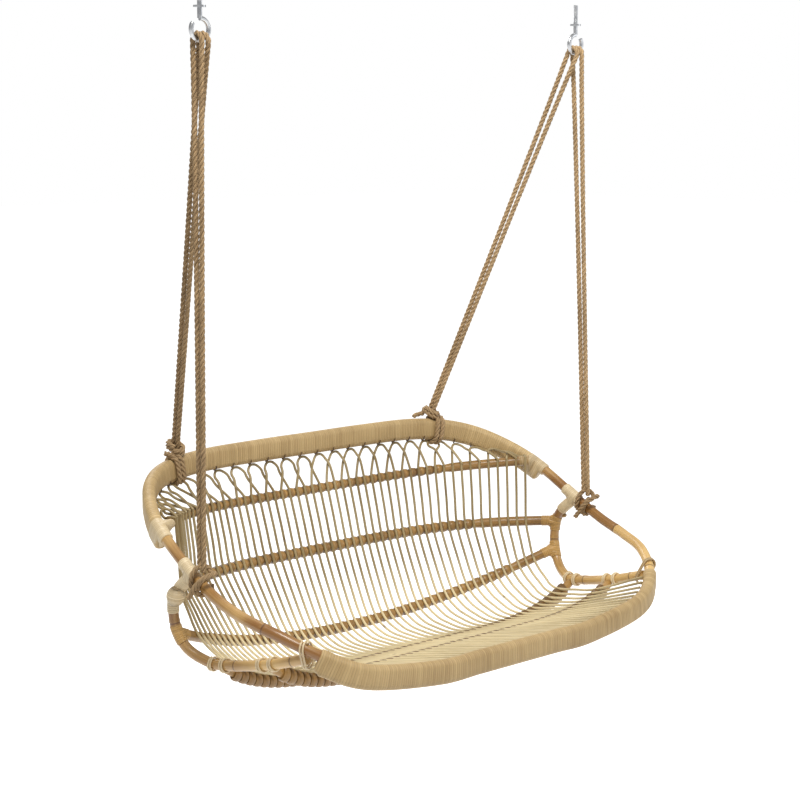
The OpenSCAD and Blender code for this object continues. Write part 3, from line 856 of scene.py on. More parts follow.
def resampled(points: np.ndarray, step: float) -> np.ndarray:
    """Sets a line's points evenly.

    Args:
        points: The line's points.
        step: About how far apart they are set.

    Returns:
        The new points.
    """
    steps = np.linalg.norm(np.diff(points, axis=0), axis=1)
    run = np.concatenate([[0.0], np.cumsum(steps)])
    s = np.linspace(0, run[-1], max(2, round(run[-1] / step) + 1))
    return np.stack([np.interp(s, run, points[:, c]) for c in range(3)], axis=1)


# Shader nodes and finishes


class Wiring:
    """Adds and joins shader nodes in one tree."""

    def __init__(self, tree: bpy.types.NodeTree) -> None:
        """Starts with an empty tree."""
        self.tree = tree
        tree.nodes.clear()

    def add(self, kind: str, **settings: object) -> bpy.types.Node:
        """Adds a node.

        Args:
            kind: The node's type.
            **settings: The values of its properties.

        Returns:
            The node.
        """
        node = self.tree.nodes.new(kind)
        for name, value in settings.items():
            setattr(node, name, value)
        return node

    def put(self, target: bpy.types.NodeSocket, value: object) -> None:
        """Gives an input its value.

        Args:
            target: The input.
            value: The output that is joined to it, or the constant that is set on it.
        """
        if isinstance(value, bpy.types.NodeSocket):
            self.tree.links.new(value, target)
        else:
            target.default_value = value

    def math(self, operation: str, a: object, b: object,
             clamp: bool = False) -> bpy.types.NodeSocket:
        """Works out a sum on two numbers.

        Args:
            operation: The kind of sum.
            a: The first number, as an output or a constant.
            b: The second number.
            clamp: Whether the result is held between 0 and 1.

        Returns:
            The result.
        """
        node = self.add("ShaderNodeMath", operation=operation, use_clamp=clamp)
        self.put(node.inputs[0], a)
        self.put(node.inputs[1], b)
        return node.outputs[0]

    def blend(self, share: object, a: object, b: object) -> bpy.types.NodeSocket:
        """Blends two colours.

        Args:
            share: The share of the second colour.
            a: The first colour, as an output or a constant.
            b: The second colour.

        Returns:
            The blended colour.
        """
        node = self.add("ShaderNodeMix", data_type="RGBA")
        self.put(node.inputs["Factor"], share)
        for socket, value in ((node.inputs[6], a), (node.inputs[7], b)):
            self.put(socket, (*value, 1) if isinstance(value, tuple) else value)
        return node.outputs[2]

    def span(self, value: object, low: float, high: float) -> bpy.types.NodeSocket:
        """Spreads a range of values smoothly over 0 to 1.

        Args:
            value: The value.
            low: The value that becomes 0.
            high: The value that becomes 1.

        Returns:
            The spread value.
        """
        node = self.add("ShaderNodeMapRange", interpolation_type="SMOOTHSTEP")
        for socket, number in zip(node.inputs[:5], (value, low, high, 0, 1)):
            self.put(socket, number)
        return node.outputs[0]

    def noise(self, vector: object, scale: float, detail: float,
              rough: float) -> bpy.types.NodeSocket:
        """Reads noise at a place.

        Args:
            vector: The place.
            scale: How fine the noise is.
            detail: The number of finer layers in it.
            rough: How strong the finer layers are.

        Returns:
            The noise, from 0 to 1.
        """
        node = self.add("ShaderNodeTexNoise")
        self.put(node.inputs["Vector"], vector)
        for label, number in (("Scale", scale), ("Detail", detail), ("Roughness", rough)):
            node.inputs[label].default_value = number
        return node.outputs["Fac"]


class SharedGroups:
    """The shader groups that more than one finish uses, each made once."""

    def __init__(self) -> None:
        """Makes the groups."""
        self.fibres = self._fibres()
        self.marks = self._marks()
        self.age = self._age()

    @staticmethod
    def _group(
        name: str, inputs: Sequence[tuple[str, float]], outputs: Sequence[str]
    ) -> tuple[bpy.types.NodeTree, Wiring, bpy.types.Node, bpy.types.Node]:
        """Makes an empty group with named number sockets.

        Args:
            name: The group's name.
            inputs: The names of its inputs with their values.
            outputs: The names of its outputs.

        Returns:
            The group, the wiring of its nodes, and its input and output nodes.
        """
        tree = bpy.data.node_groups.new(name, "ShaderNodeTree")
        for label, value in inputs:
            socket = tree.interface.new_socket(label, in_out="INPUT", socket_type="NodeSocketFloat")
            socket.default_value = value
        for label in outputs:
            tree.interface.new_socket(label, in_out="OUTPUT", socket_type="NodeSocketFloat")
        wiring = Wiring(tree)
        return tree, wiring, wiring.add("NodeGroupInput"), wiring.add("NodeGroupOutput")

    def _fibres(self) -> bpy.types.NodeTree:
        """Makes fibres that run along a cane: streaks, dark flecks, and their height.

        Returns:
            The group.
        """
        inputs = (("Along", 14), ("Across", 1100), ("Twist", 0))
        tree, w, got, out = self._group("cane_fibres", inputs, ("Streak", "Fleck", "Height"))
        place = w.add("ShaderNodeAttribute", attribute_name=STRAIGHT)
        parts = w.add("ShaderNodeSeparateXYZ")
        w.put(parts.inputs[0], place.outputs["Vector"])
        along = w.math("MULTIPLY", parts.outputs[0], got.outputs["Along"])
        lean = w.math("MULTIPLY", parts.outputs[0], got.outputs["Twist"])
        across = w.math("MULTIPLY", parts.outputs[1], got.outputs["Across"])
        grain = w.add("ShaderNodeCombineXYZ")
        w.put(grain.inputs[0], along)
        w.put(grain.inputs[1], w.math("ADD", across, lean))
        w.put(grain.inputs[2], w.math("MULTIPLY", parts.outputs[2], got.outputs["Across"]))
        fine = w.noise(grain.outputs[0], 1.0, 5, 0.6)
        broad = w.noise(grain.outputs[0], 0.22, 3, 0.5)
        fine_share, broad_share = w.math("MULTIPLY", fine, 0.55), w.math("MULTIPLY", broad, 0.45)
        w.put(out.inputs["Streak"], w.math("ADD", fine_share, broad_share))
        spots = w.add("ShaderNodeCombineXYZ")
        for socket, part, scale in zip(spots.inputs, parts.outputs, (90, 420, 420)):
            w.put(socket, w.math("MULTIPLY", part, scale))
        w.put(out.inputs["Fleck"], w.span(w.noise(spots.outputs[0], 1.0, 3, 0.6), 0.66, 0.8))
        w.put(out.inputs["Height"], w.math("ADD", fine, w.math("MULTIPLY", broad, 0.5)))
        return tree

    def _marks(self) -> bpy.types.NodeTree:
        """Makes the group that reads a piece's own marks: tint, cane joint and shade.

        Returns:
            The group.
        """
        tree, w, _, out = self._group("piece_marks", (), ("Tint", "Ring", "Shade"))
        place = w.add("ShaderNodeAttribute", attribute_name=MARKS)
        parts = w.add("ShaderNodeSeparateXYZ")
        w.put(parts.inputs[0], place.outputs["Vector"])
        for target, source in zip(out.inputs, parts.outputs):
            w.put(target, source)
        return tree

    def _age(self) -> bpy.types.NodeTree:
        """Makes slow patches of sun and handling over the whole bench.

        Returns:
            The group.
        """
        tree, w, got, out = self._group("sun_and_handling", (("Size", 9),), ("Patch", "Dust"))
        place = w.add("ShaderNodeNewGeometry")
        scaled = w.add("ShaderNodeVectorMath", operation="SCALE")
        w.put(scaled.inputs[0], place.outputs["Position"])
        w.put(scaled.inputs["Scale"], got.outputs["Size"])
        w.put(out.inputs["Patch"], w.noise(scaled.outputs[0], 1.0, 3, 0.5))
        w.put(out.inputs["Dust"], w.span(w.noise(scaled.outputs[0], 14.0, 4, 0.65), 0.45, 0.75))
        return tree


# How strongly the painted shade shows, and how dark it is beside a finish's dark colour
PAINTED_SHADE_STRENGTH = 0.85
PAINTED_SHADE_TONE = 0.35
COAT_ROUGHNESS = 0.22


@dataclass(frozen=True)
class Finish:
    """One finish of cane or fibre.

    dark and pale are the colours between which it varies, joint that of a cane's joint. along,
    across and twist set the grain, streak, fleck and patch how strongly it shows, rough and
    coat the gloss, and relief and depth (in metres) the bump.
    """

    name: str
    slot: str
    dark: tuple[float, float, float]
    pale: tuple[float, float, float]
    joint: tuple[float, float, float]
    along: float = 14
    across: float = 1100
    twist: float = 0
    streak: float = 0.8
    fleck: float = 0.35
    patch: float = 0.5
    rough: float = 0.5
    coat: float = 0.0
    relief: float = 0.12
    depth: float = 0.0004

    def material(self, groups: SharedGroups) -> bpy.types.Material:
        """Makes the material from the shared groups.

        Args:
            groups: The shared groups.

        Returns:
            The material.
        """
        made = bpy.data.materials.new(self.name)
        made.use_nodes = True
        w = Wiring(made.node_tree)
        fibres = w.add("ShaderNodeGroup", node_tree=groups.fibres)
        for label, value in (("Along", self.along), ("Across", self.across), ("Twist", self.twist)):
            fibres.inputs[label].default_value = value
        marks = w.add("ShaderNodeGroup", node_tree=groups.marks)
        age = w.add("ShaderNodeGroup", node_tree=groups.age)
        streak = w.math("SUBTRACT", fibres.outputs["Streak"], 0.5)
        streak = w.math("MULTIPLY", streak, self.streak * 2)
        patch = w.math("MULTIPLY", w.math("SUBTRACT", age.outputs["Patch"], 0.5), self.patch)
        tone = w.math("ADD", w.math("ADD", marks.outputs["Tint"], streak), patch, clamp=True)
        colour = w.blend(tone, self.dark, self.pale)
        fleck = w.math("MULTIPLY", fibres.outputs["Fleck"], self.fleck)
        colour = w.blend(fleck, colour, self.dark)
        colour = w.blend(marks.outputs["Ring"], colour, self.joint)
        # The Shade mark is painted shade: it darkens seams, bead grooves and the windings' tops
        painted_shade = w.math("MULTIPLY", marks.outputs["Shade"], PAINTED_SHADE_STRENGTH)
        colour = w.blend(painted_shade, colour, tuple(PAINTED_SHADE_TONE * c for c in self.dark))
        rough = w.math("ADD", w.math("MULTIPLY", fibres.outputs["Streak"], 0.16), self.rough - 0.08)
        rough = w.math("ADD", rough, w.math("MULTIPLY", age.outputs["Dust"], 0.08), clamp=True)
        bump = w.add("ShaderNodeBump")
        bump.inputs["Strength"].default_value = self.relief
        bump.inputs["Distance"].default_value = self.depth
        w.put(bump.inputs["Height"], fibres.outputs["Height"])
        shader = w.add("ShaderNodeBsdfPrincipled")
        shader.inputs["Coat Weight"].default_value = self.coat
        shader.inputs["Coat Roughness"].default_value = COAT_ROUGHNESS
        w.put(shader.inputs["Base Color"], colour)
        w.put(shader.inputs["Roughness"], rough)
        w.put(shader.inputs["Normal"], bump.outputs[0])
        w.put(w.add("ShaderNodeOutputMaterial").inputs[0], shader.outputs[0])
        return made


@dataclass(frozen=True)
class SteelFinish:
    """Zinc-plated steel with dull patches."""

    name: str
    slot: str
    bright: tuple[float, float, float]
    dull: tuple[float, float, float]
    rough: float

    def material(self, groups: SharedGroups) -> bpy.types.Material:
        """Makes the material from the shared groups.

        Args:
            groups: The shared groups.

        Returns:
            The material.
        """
        made = bpy.data.materials.new(self.name)
        made.use_nodes = True
        w = Wiring(made.node_tree)
        age = w.add("ShaderNodeGroup", node_tree=groups.age)
        age.inputs["Size"].default_value = 60
        colour = w.blend(w.span(age.outputs["Patch"], 0.3, 0.7), self.dull, self.bright)
        colour = w.blend(w.math("MULTIPLY", age.outputs["Dust"], 0.3), colour, self.dull)
        bump = w.add("ShaderNodeBump")
        bump.inputs["Strength"].default_value = 0.08
        bump.inputs["Distance"].default_value = 0.0002
        w.put(bump.inputs["Height"], age.outputs["Dust"])
        shader = w.add("ShaderNodeBsdfPrincipled")
        shader.inputs["Metallic"].default_value = 1
        w.put(shader.inputs["Base Color"], colour)
        uneven = w.math("MULTIPLY", age.outputs["Patch"], 0.15)
        w.put(shader.inputs["Roughness"], w.math("ADD", uneven, self.rough - 0.07))
        w.put(shader.inputs["Normal"], bump.outputs[0])
        w.put(w.add("ShaderNodeOutputMaterial").inputs[0], shader.outputs[0])
        return made


POLE = Finish(
    "pole_cane", "pole", dark=(0.265, 0.118, 0.028), pale=(0.76, 0.51, 0.20),
    joint=(0.10, 0.04, 0.015), rough=0.36, coat=0.3, streak=0.75, patch=1.3, relief=0.08,
)
BINDING = Finish(
    "flat_binding", "binding", dark=(0.27, 0.165, 0.058), pale=(0.65, 0.475, 0.235),
    joint=(0.2, 0.11, 0.05), rough=0.5, streak=0.5, fleck=0.8, patch=0.8, relief=0.2,
)
SPINDLE = Finish(
    "peeled_spindle", "spindle", dark=(0.215, 0.145, 0.05), pale=(0.92, 0.78, 0.48),
    joint=(0.12, 0.07, 0.03), rough=0.46, streak=0.45, fleck=0.4,
)
CANE = Finish(
    "split_cane", "cane", dark=(0.36, 0.23, 0.09), pale=(0.88, 0.74, 0.49),
    joint=(0.25, 0.14, 0.06), rough=0.42, streak=0.5, coat=0.1,
)
BROWN_CANE = Finish(
    "brown_cane", "cane", dark=(0.155, 0.073, 0.017), pale=(0.55, 0.33, 0.105),
    joint=(0.1, 0.05, 0.02), rough=0.42, streak=0.6, coat=0.1,
)
PEG = Finish(
    "peg_cane", "spindle", dark=(0.05, 0.022, 0.01), pale=(0.2, 0.11, 0.045),
    joint=(0.05, 0.03, 0.01),
)
RAIL = Finish(
    "rail_cane", "rail", dark=(0.15, 0.072, 0.017), pale=(0.58, 0.335, 0.10),
    joint=(0.08, 0.035, 0.014), rough=0.4, coat=0.15, streak=0.6,
)
ROPE = Finish(
    "laid_fibre", "rope", dark=(0.115, 0.066, 0.028), pale=(0.66, 0.46, 0.25),
    joint=(0.1, 0.06, 0.03), along=60, across=2600, twist=260, rough=0.85, streak=1.2,
    fleck=0.4, relief=0.55, depth=0.0008,
)
ZINC = SteelFinish(
    "zinc_plate", "steel", bright=(0.66, 0.67, 0.68), dull=(0.42, 0.43, 0.45), rough=0.32,
)


class Bench:
    """Keeps the lines and finishes, and puts each finished piece on its body."""

    def __init__(self, lines: BenchLines) -> None:
        """Makes the shared groups and every finish once.

        Args:
            lines: The lines that every sub-assembly follows.
        """
        self.lines = lines
        groups = SharedGroups()
        finishes = (POLE, BINDING, SPINDLE, CANE, BROWN_CANE, PEG, RAIL, ROPE, ZINC)
        self.materials = {f.name: f.material(groups) for f in finishes}
        self.count = 0

    def add(self, name: str, strands: Sequence[Strand], finish: Finish | SteelFinish,
            replaces: Sequence[str] = (), body: Body = Body.BENCH) -> bpy.types.Object:
        """Makes a piece, dresses it and seats it on its body.

        Args:
            name: The piece's name.
            strands: Its lengths.
            finish: Its finish.
            replaces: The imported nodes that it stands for.
            body: The body that it rides on.

        Returns:
            The piece.
        """
        piece = mesh_of(name, strands)
        piece.data.materials.append(self.materials[finish.name])
        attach(piece, body.value)
        if replaces:
            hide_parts(*replaces)
        self.count += 1
        LOG.info("%s: %d lengths, %d faces", name, len(strands), len(piece.data.polygons))
        return piece

    def dress_node(self, name: str, finish: Finish | SteelFinish) -> None:
        """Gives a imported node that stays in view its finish.

        Args:
            name: The node's name.
            finish: Its finish.
        """
        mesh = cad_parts[name].data
        mesh.materials.clear()
        mesh.materials.append(self.materials[finish.name])
        LOG.info("%s: packed node in %s", name, finish.name)


# Camera, light and ground


@dataclass
class Studio:
    """The camera at the photograph's place, soft light and a pale floor.

    place and aim are in metres, and azimuth and elevation in degrees. floor_glow and sky_glow
    are what the camera sees on top of the light that floor and sky give.
    """

    place: tuple[float, float, float] = (-2.9476, -3.1379, -0.2309)
    azimuth: float = -43.072
    elevation: float = 8.371
    lens: float = 85.5
    sensor: float = 36
    aim: tuple[float, float, float] = (0, 0, -1.2)
    floor_z: float = -1.93
    floor_grey: float = 0.82
    floor_glow: float = 0.75
    sky_light: float = 0.45
    sky_glow: float = 0.55

    def camera(self) -> None:
        """Makes the camera."""
        data = bpy.data.cameras.new("camera")
        data.lens, data.sensor_width = self.lens, self.sensor
        data.clip_start, data.clip_end = 0.05, 100
        camera = bpy.data.objects.new("camera", data)
        bpy.context.scene.collection.objects.link(camera)
        a, e = math.radians(self.azimuth), math.radians(self.elevation)
        back = Vector((math.sin(a) * math.cos(e), -math.cos(a) * math.cos(e), math.sin(e)))
        camera.location = self.place
        camera.rotation_euler = (-back).to_track_quat("-Z", "Y").to_euler()
        bpy.context.scene.camera = camera

    def lamp(self, name: str, place: Sequence[float], size: float, watts: float,
             colour: tuple[float, float, float] = (1, 1, 1)) -> None:
        """Hangs one soft round lamp that faces the middle of the bench.

        Args:
            name: The lamp's name.
            place: Where it hangs.
            size: Its width.
            watts: Its power.
            colour: Its colour.
        """
        data = bpy.data.lights.new(name, "AREA")
        data.shape, data.size, data.energy, data.color = "DISK", size, watts, colour
        lamp = bpy.data.objects.new(name, data)
        bpy.context.scene.collection.objects.link(lamp)
        lamp.location = place
        towards = Vector(self.aim) - Vector(place)
        lamp.rotation_euler = towards.to_track_quat("-Z", "Y").to_euler()

    def ground(self) -> None:
        """Lays the pale floor, which shows as white and keeps the bench's shadow."""
        half, cuts = 30.0, 12
        xs = np.linspace(-half, half, cuts + 1)
        verts = [(x, y, self.floor_z) for y in xs for x in xs]
        row = cuts + 1
        corners = [j * row + i for j in range(cuts) for i in range(cuts)]
        faces = [(a, a + 1, a + row + 1, a + row) for a in corners]
        mesh = bpy.data.meshes.new("floor")
        mesh.from_pydata(verts, [], faces)
        floor = bpy.data.objects.new("floor", mesh)
        bpy.context.scene.collection.objects.link(floor)
        made = bpy.data.materials.new("pale_floor")
        made.use_nodes = True
        w = Wiring(made.node_tree)
        path = w.add("ShaderNodeLightPath")
        seen = w.math("MAXIMUM", path.outputs["Is Camera Ray"], path.outputs["Is Glossy Ray"])
        matt = w.add("ShaderNodeBsdfDiffuse")
        matt.inputs[0].default_value = (*[self.floor_grey] * 3, 1)
        glow = w.add("ShaderNodeEmission")
        w.put(glow.inputs["Strength"], w.math("MULTIPLY", seen, self.floor_glow))
        both = w.add("ShaderNodeAddShader")
        w.put(both.inputs[0], matt.outputs[0])
        w.put(both.inputs[1], glow.outputs[0])
        w.put(w.add("ShaderNodeOutputMaterial").inputs[0], both.outputs[0])
        mesh.materials.append(made)

    def sky(self) -> None:
        """Lights the room evenly, and shows it as white behind the bench."""
        world = bpy.data.worlds.new("room")
        bpy.context.scene.world = world
        world.use_nodes = True
        w = Wiring(world.node_tree)
        path = w.add("ShaderNodeLightPath")
        seen = w.math("MAXIMUM", path.outputs["Is Camera Ray"], path.outputs["Is Transmission Ray"])
        back = w.add("ShaderNodeBackground")
        back.inputs["Color"].default_value = (1, 1, 1, 1)
        glow = w.math("MULTIPLY", seen, self.sky_glow)
        w.put(back.inputs["Strength"], w.math("ADD", glow, self.sky_light))
        w.put(w.add("ShaderNodeOutputWorld").inputs[0], back.outputs[0])

    def build(self) -> None:
        """Sets up the whole studio."""
        bpy.context.scene.view_settings.view_transform = "Standard"
        self.camera()
        self.lamp("key", (-1.3, -1.6, 2.4), size=1.3, watts=125, colour=(1, 0.97, 0.91))
        self.lamp("fill", (2.8, -2.2, 0.4), size=2.4, watts=22, colour=(0.95, 0.97, 1))
        self.lamp("rim", (0.6, 2.6, 1.2), size=1.8, watts=40)
        self.ground()
        self.sky()


# Sub-assemblies

# A doubled rope over its hook's wire, as places beside and above the turn, and below it, as the
# share of the way down and half the distance between the two strands
ROPE_BIGHT = ((-15, 0), (-13, 7), (-7.5, 12), (0, 14), (7.5, 12), (13, 7), (15, 0))
ROPE_STRANDS = ((0.02, 14.5), (0.07, 13), (0.16, 11.5), (0.3, 10), (0.5, 8.5), (0.75, 7.5))
# The hitch on an arm: along the arm, degrees from above towards the face, and how far it is off
# a rope that lies on the arm
ARM_HITCH = (
    (5, 128, 24), (6, 114, 11), (8, 92, 10), (12, 58, 12), (17, 32, 18), (19, 6, 22),
    (12, -22, 20), (0, -27, 14), (-12, -22, 18), (-20, 8, 17), (-20, 42, 6), (-16, 80, 0),
    (-14, 130, 0), (-13, 180, 0), (-12, 235, 0), (-9, 295, 0), (-3, 345, 0), (3, 390, 0),
    (7, 435, 0), (9, 490, 0), (10, 540, 0), (11, 595, 0), (12, 650, 0),
)
# The first and the last turn of a hitch's collar above the band, and its tail from the collar's
# first point, for a tail that points away from the bench's middle and for one towards it
FREE_COLLAR, FREE_TAIL = (0.06, 2.06), ((31, -9, 8), (14, -4, 3))
TURNED_COLLAR, TURNED_TAIL = (-0.44, 1.56), ((-31, 4, -5), (-14, 3, -1))
# The legs, counted from the middle, up to which each rail is beaded on the left and the right
BEADED = {"upper_rail": (24.5, 16.5), "middle_rail": (22.5, 19.5), "lower_rail": (22.5, 22.5)}
# How much thicker each rail is past its beads
BARE_SWELL = {"upper_rail": 3.2, "middle_rail": 2.4, "lower_rail": 1.6}


@dataclass
class Ropes:
    """Four ropes, each doubled over a hook, and the hitches that they hang from.

    front_shift and rear_shift are how far the two ropes of a hook lie outwards and inwards of
    its middle, and the hitch and collar fields shape the turns round the band and the strands.
    """

    bench: Bench
    front_shift: float = 7
    rear_shift: float = 9
    hitch_span: float = 24
    collar_pitch: float = 9.5
    collar_half: float = 7.5
    band_turns: tuple[float, float] = (-0.94, 1.06)

    def _path(self, turn: np.ndarray, feet: Sequence[np.ndarray]) -> np.ndarray:
        """Leads a doubled rope from one foot over its hook's wire to the other.

        Args:
            turn: Where the rope turns over the wire.
            feet: Where its two strands meet the hitch.

        Returns:
            The shaping points of its route.
        """
        foot = mix(feet[0], feet[1], 0.5)
        d = unit(foot - turn)
        e = square_to(d, (0, 1, 0))
        points = [feet[0]]
        points += [mix(turn, foot, share) - half * e for share, half in ROPE_STRANDS[::-1]]
        points += [turn + sideways * e - upwards * d for sideways, upwards in ROPE_BIGHT]
        points += [mix(turn, foot, share) + half * e for share, half in ROPE_STRANDS]
        return np.array([*points, feet[1]])

    def _turn(self, shift: float) -> np.ndarray:
        """Returns where a rope turns over the right hook, shifted outwards along its wire."""
        lines = self.bench.lines
        return np.array([lines.hook_spacing / 2 + shift, 0, lines.hook_z])

    def _arm_foot(self, s: float) -> np.ndarray:
        """Finds where a front strand meets the turns on the arm.

        Args:
            s: The length along the ring.

        Returns:
            The end of the strand's middle line.
        """
        lines = self.bench.lines
        t, wrap = lines.ring.heading(s), lines.rope_r + lines.seat_gap
        rise = (lines.pole_r + 2 * wrap + lines.rope_r * abs(t[2])) / math.hypot(t[0], t[1])
        return lines.ring.at(s) + rise * UP

    def routes(self) -> dict[str, np.ndarray]:
        """Leads the two ropes of the right half.

        Returns:
            The shaping points of each rope's route, by its place.
        """
        lines = self.bench.lines
        # The two strands of a rope meet its hitch side by side
        arm_feet = [self._arm_foot(lines.front_rope_at + d) for d in (8, -8)]
        lift = lines.sleeve_r + 2 * (lines.rope_r + lines.seat_gap) + 3.5
        band = lines.ring.at(lines.rear_rope_at)
        band_feet = [band + np.array([0, y, lift]) for y in (-1, 12.5)]
        return {"front": self._path(self._turn(self.front_shift), arm_feet),
                "rear": self._path(self._turn(-self.rear_shift), band_feet)}

    def _arm_hitch(self, inner: bool) -> list[Strand]:
        """Ties the hitch on the arm: two turns apart, two curls above and a short end.

        Args:
            inner: Whether its curls and its end face the seat.

        Returns:
            The hitch's strands.
        """
        lines = self.bench.lines
        on_arm = lines.pole_r + lines.rope_r + lines.seat_gap
        points = []
        for away, degrees, off in ARM_HITCH:
            at, q = lines.front_rope_at + away, math.radians(degrees)
            t = lines.ring.heading(at)
            up = square_to(t, UP)
            face = np.cross(t, up) * (1 if inner else -1)
            out = math.cos(q) * up + math.sin(q) * face
            points.append(lines.ring.at(at) + (on_arm + off) * out)
        return laid(smooth(points, 6), lines.rope_r, tint=0.42)

    def _band_hitch(self, rear: np.ndarray, turned: bool) -> list[Strand]:
        """Ties the turns round the band and the collar above them, with its tail.

        Args:
            rear: The route of the rope that hangs from it.
            turned: Whether the tail leaves towards the middle of the bench.

        Returns:
            The hitch's strands.
        """
        lines = self.bench.lines
        wrap, half_step = lines.rope_r + lines.seat_gap, lines.pole_step / 2
        middle = []
        for d in (-self.hitch_span, self.hitch_span):
            s = lines.rear_wrap_at + d
            middle.append(lines.ring.at(s) - half_step * lines.ring.upright(s))
        turns = winding(Line(middle), self.hitch_span, lines.hitch_pitch, lines.sleeve_r + wrap,
                        self.band_turns, (0, half_step), steps=16)
        foot, turn = mix(rear[0], rear[-1], 0.5), self._turn(-self.rear_shift)
        strands = Line([mix(foot, turn, -0.02), mix(foot, turn, 0.12)])
        collar_start = np.linalg.norm(strands.points[0] - foot) - 6
        collar_turns, tail_offs = (
            (TURNED_COLLAR, TURNED_TAIL) if turned else (FREE_COLLAR, FREE_TAIL))
        collar = winding(strands, collar_start, self.collar_pitch, 2 * wrap, collar_turns,
                         (self.collar_half, 0), steps=16)
        tail = [collar[0] + np.array(off) for off in tail_offs]
        return (laid(smooth(turns, 2), lines.rope_r)
                + laid(smooth([*tail, *collar], 2), lines.rope_r))

    def build(self) -> None:
        """Makes the ropes and their hitches."""
        lines = self.bench.lines
        for place, right in self.routes().items():
            # The left ropes are painted darker than the right ones, as shade
            for side, flip, tint in (("right", np.ones(3), 0.58), ("left", MIRROR, 0.4)):
                here = side == "right"
                hitch = self._arm_hitch(here) if place == "front" else self._band_hitch(right, here)
                knot = self.bench.add(f"hitch_{place}_{side}_knot",
                                      [s if here else s.mirrored() for s in hitch],
                                      ROPE, [f"hitch_{place}_{side}"])
                route = right * flip
                path = smooth(route, 8)
                rope = self.bench.add(f"rope_{place}_{side}_laid",
                                      laid(path, lines.rope_r, tint=tint),
                                      ROPE, [f"rope_{place}_{side}"])


@dataclass
class Hooks:
    """The two ceiling hooks, which stay as packed, with a thread on each stud.

    stud is the heights between which the thread runs, thread_at its distance from the stud's
    middle and thread_r its half thickness.
    """

    bench: Bench
    stud: tuple[float, float] = (1, 44)
    thread_pitch: float = 1.5
    thread_at: float = 4.95
    thread_r: float = 0.35

    def build(self) -> None:
        """Dresses the hooks and cuts their threads."""
        lines = self.bench.lines
        for side, sign in (("left", -1), ("right", 1)):
            self.bench.dress_node(f"hook_{side}", ZINC)
            x = sign * lines.hook_spacing / 2
            stud = Line([(x, 0, z) for z in self.stud])
            turns = winding(stud, 0, self.thread_pitch, self.thread_at, (1, 28), steps=16)
            self.bench.add(f"thread_{side}", [Strand(turns, self.thread_r, 5)], ZINC,
                           body=Body.HOOKS)


# How much thinner a cane is in the groove of a joint, and half the widths of groove and ring
JOINT_GROOVE = 0.06
JOINT_GROOVE_WIDTH = 1.1
JOINT_RING_WIDTH = 1.5


def canes(run: np.ndarray, joints: Sequence[float],
          swell: float = 0.05) -> tuple[np.ndarray, np.ndarray]:
    """Shapes the joints of a natural pole.

    Args:
        run: The lengths along the pole.
        joints: The lengths at which it has a joint.
        swell: How much thicker it is beside a joint.

    Returns:
        The factor on its radius and the strength of the dark ring, for each length.
    """
    factor, ring = np.ones_like(run), np.zeros_like(run)
    for s in joints:
        lips = bell(run, s - 3, 5) + 0.7 * bell(run, s + 4, 4)
        factor += swell * lips - JOINT_GROOVE * bell(run, s, JOINT_GROOVE_WIDTH)
        ring = np.maximum(ring, bell(run, s, JOINT_RING_WIDTH))
    return factor, np.minimum(ring, 1)


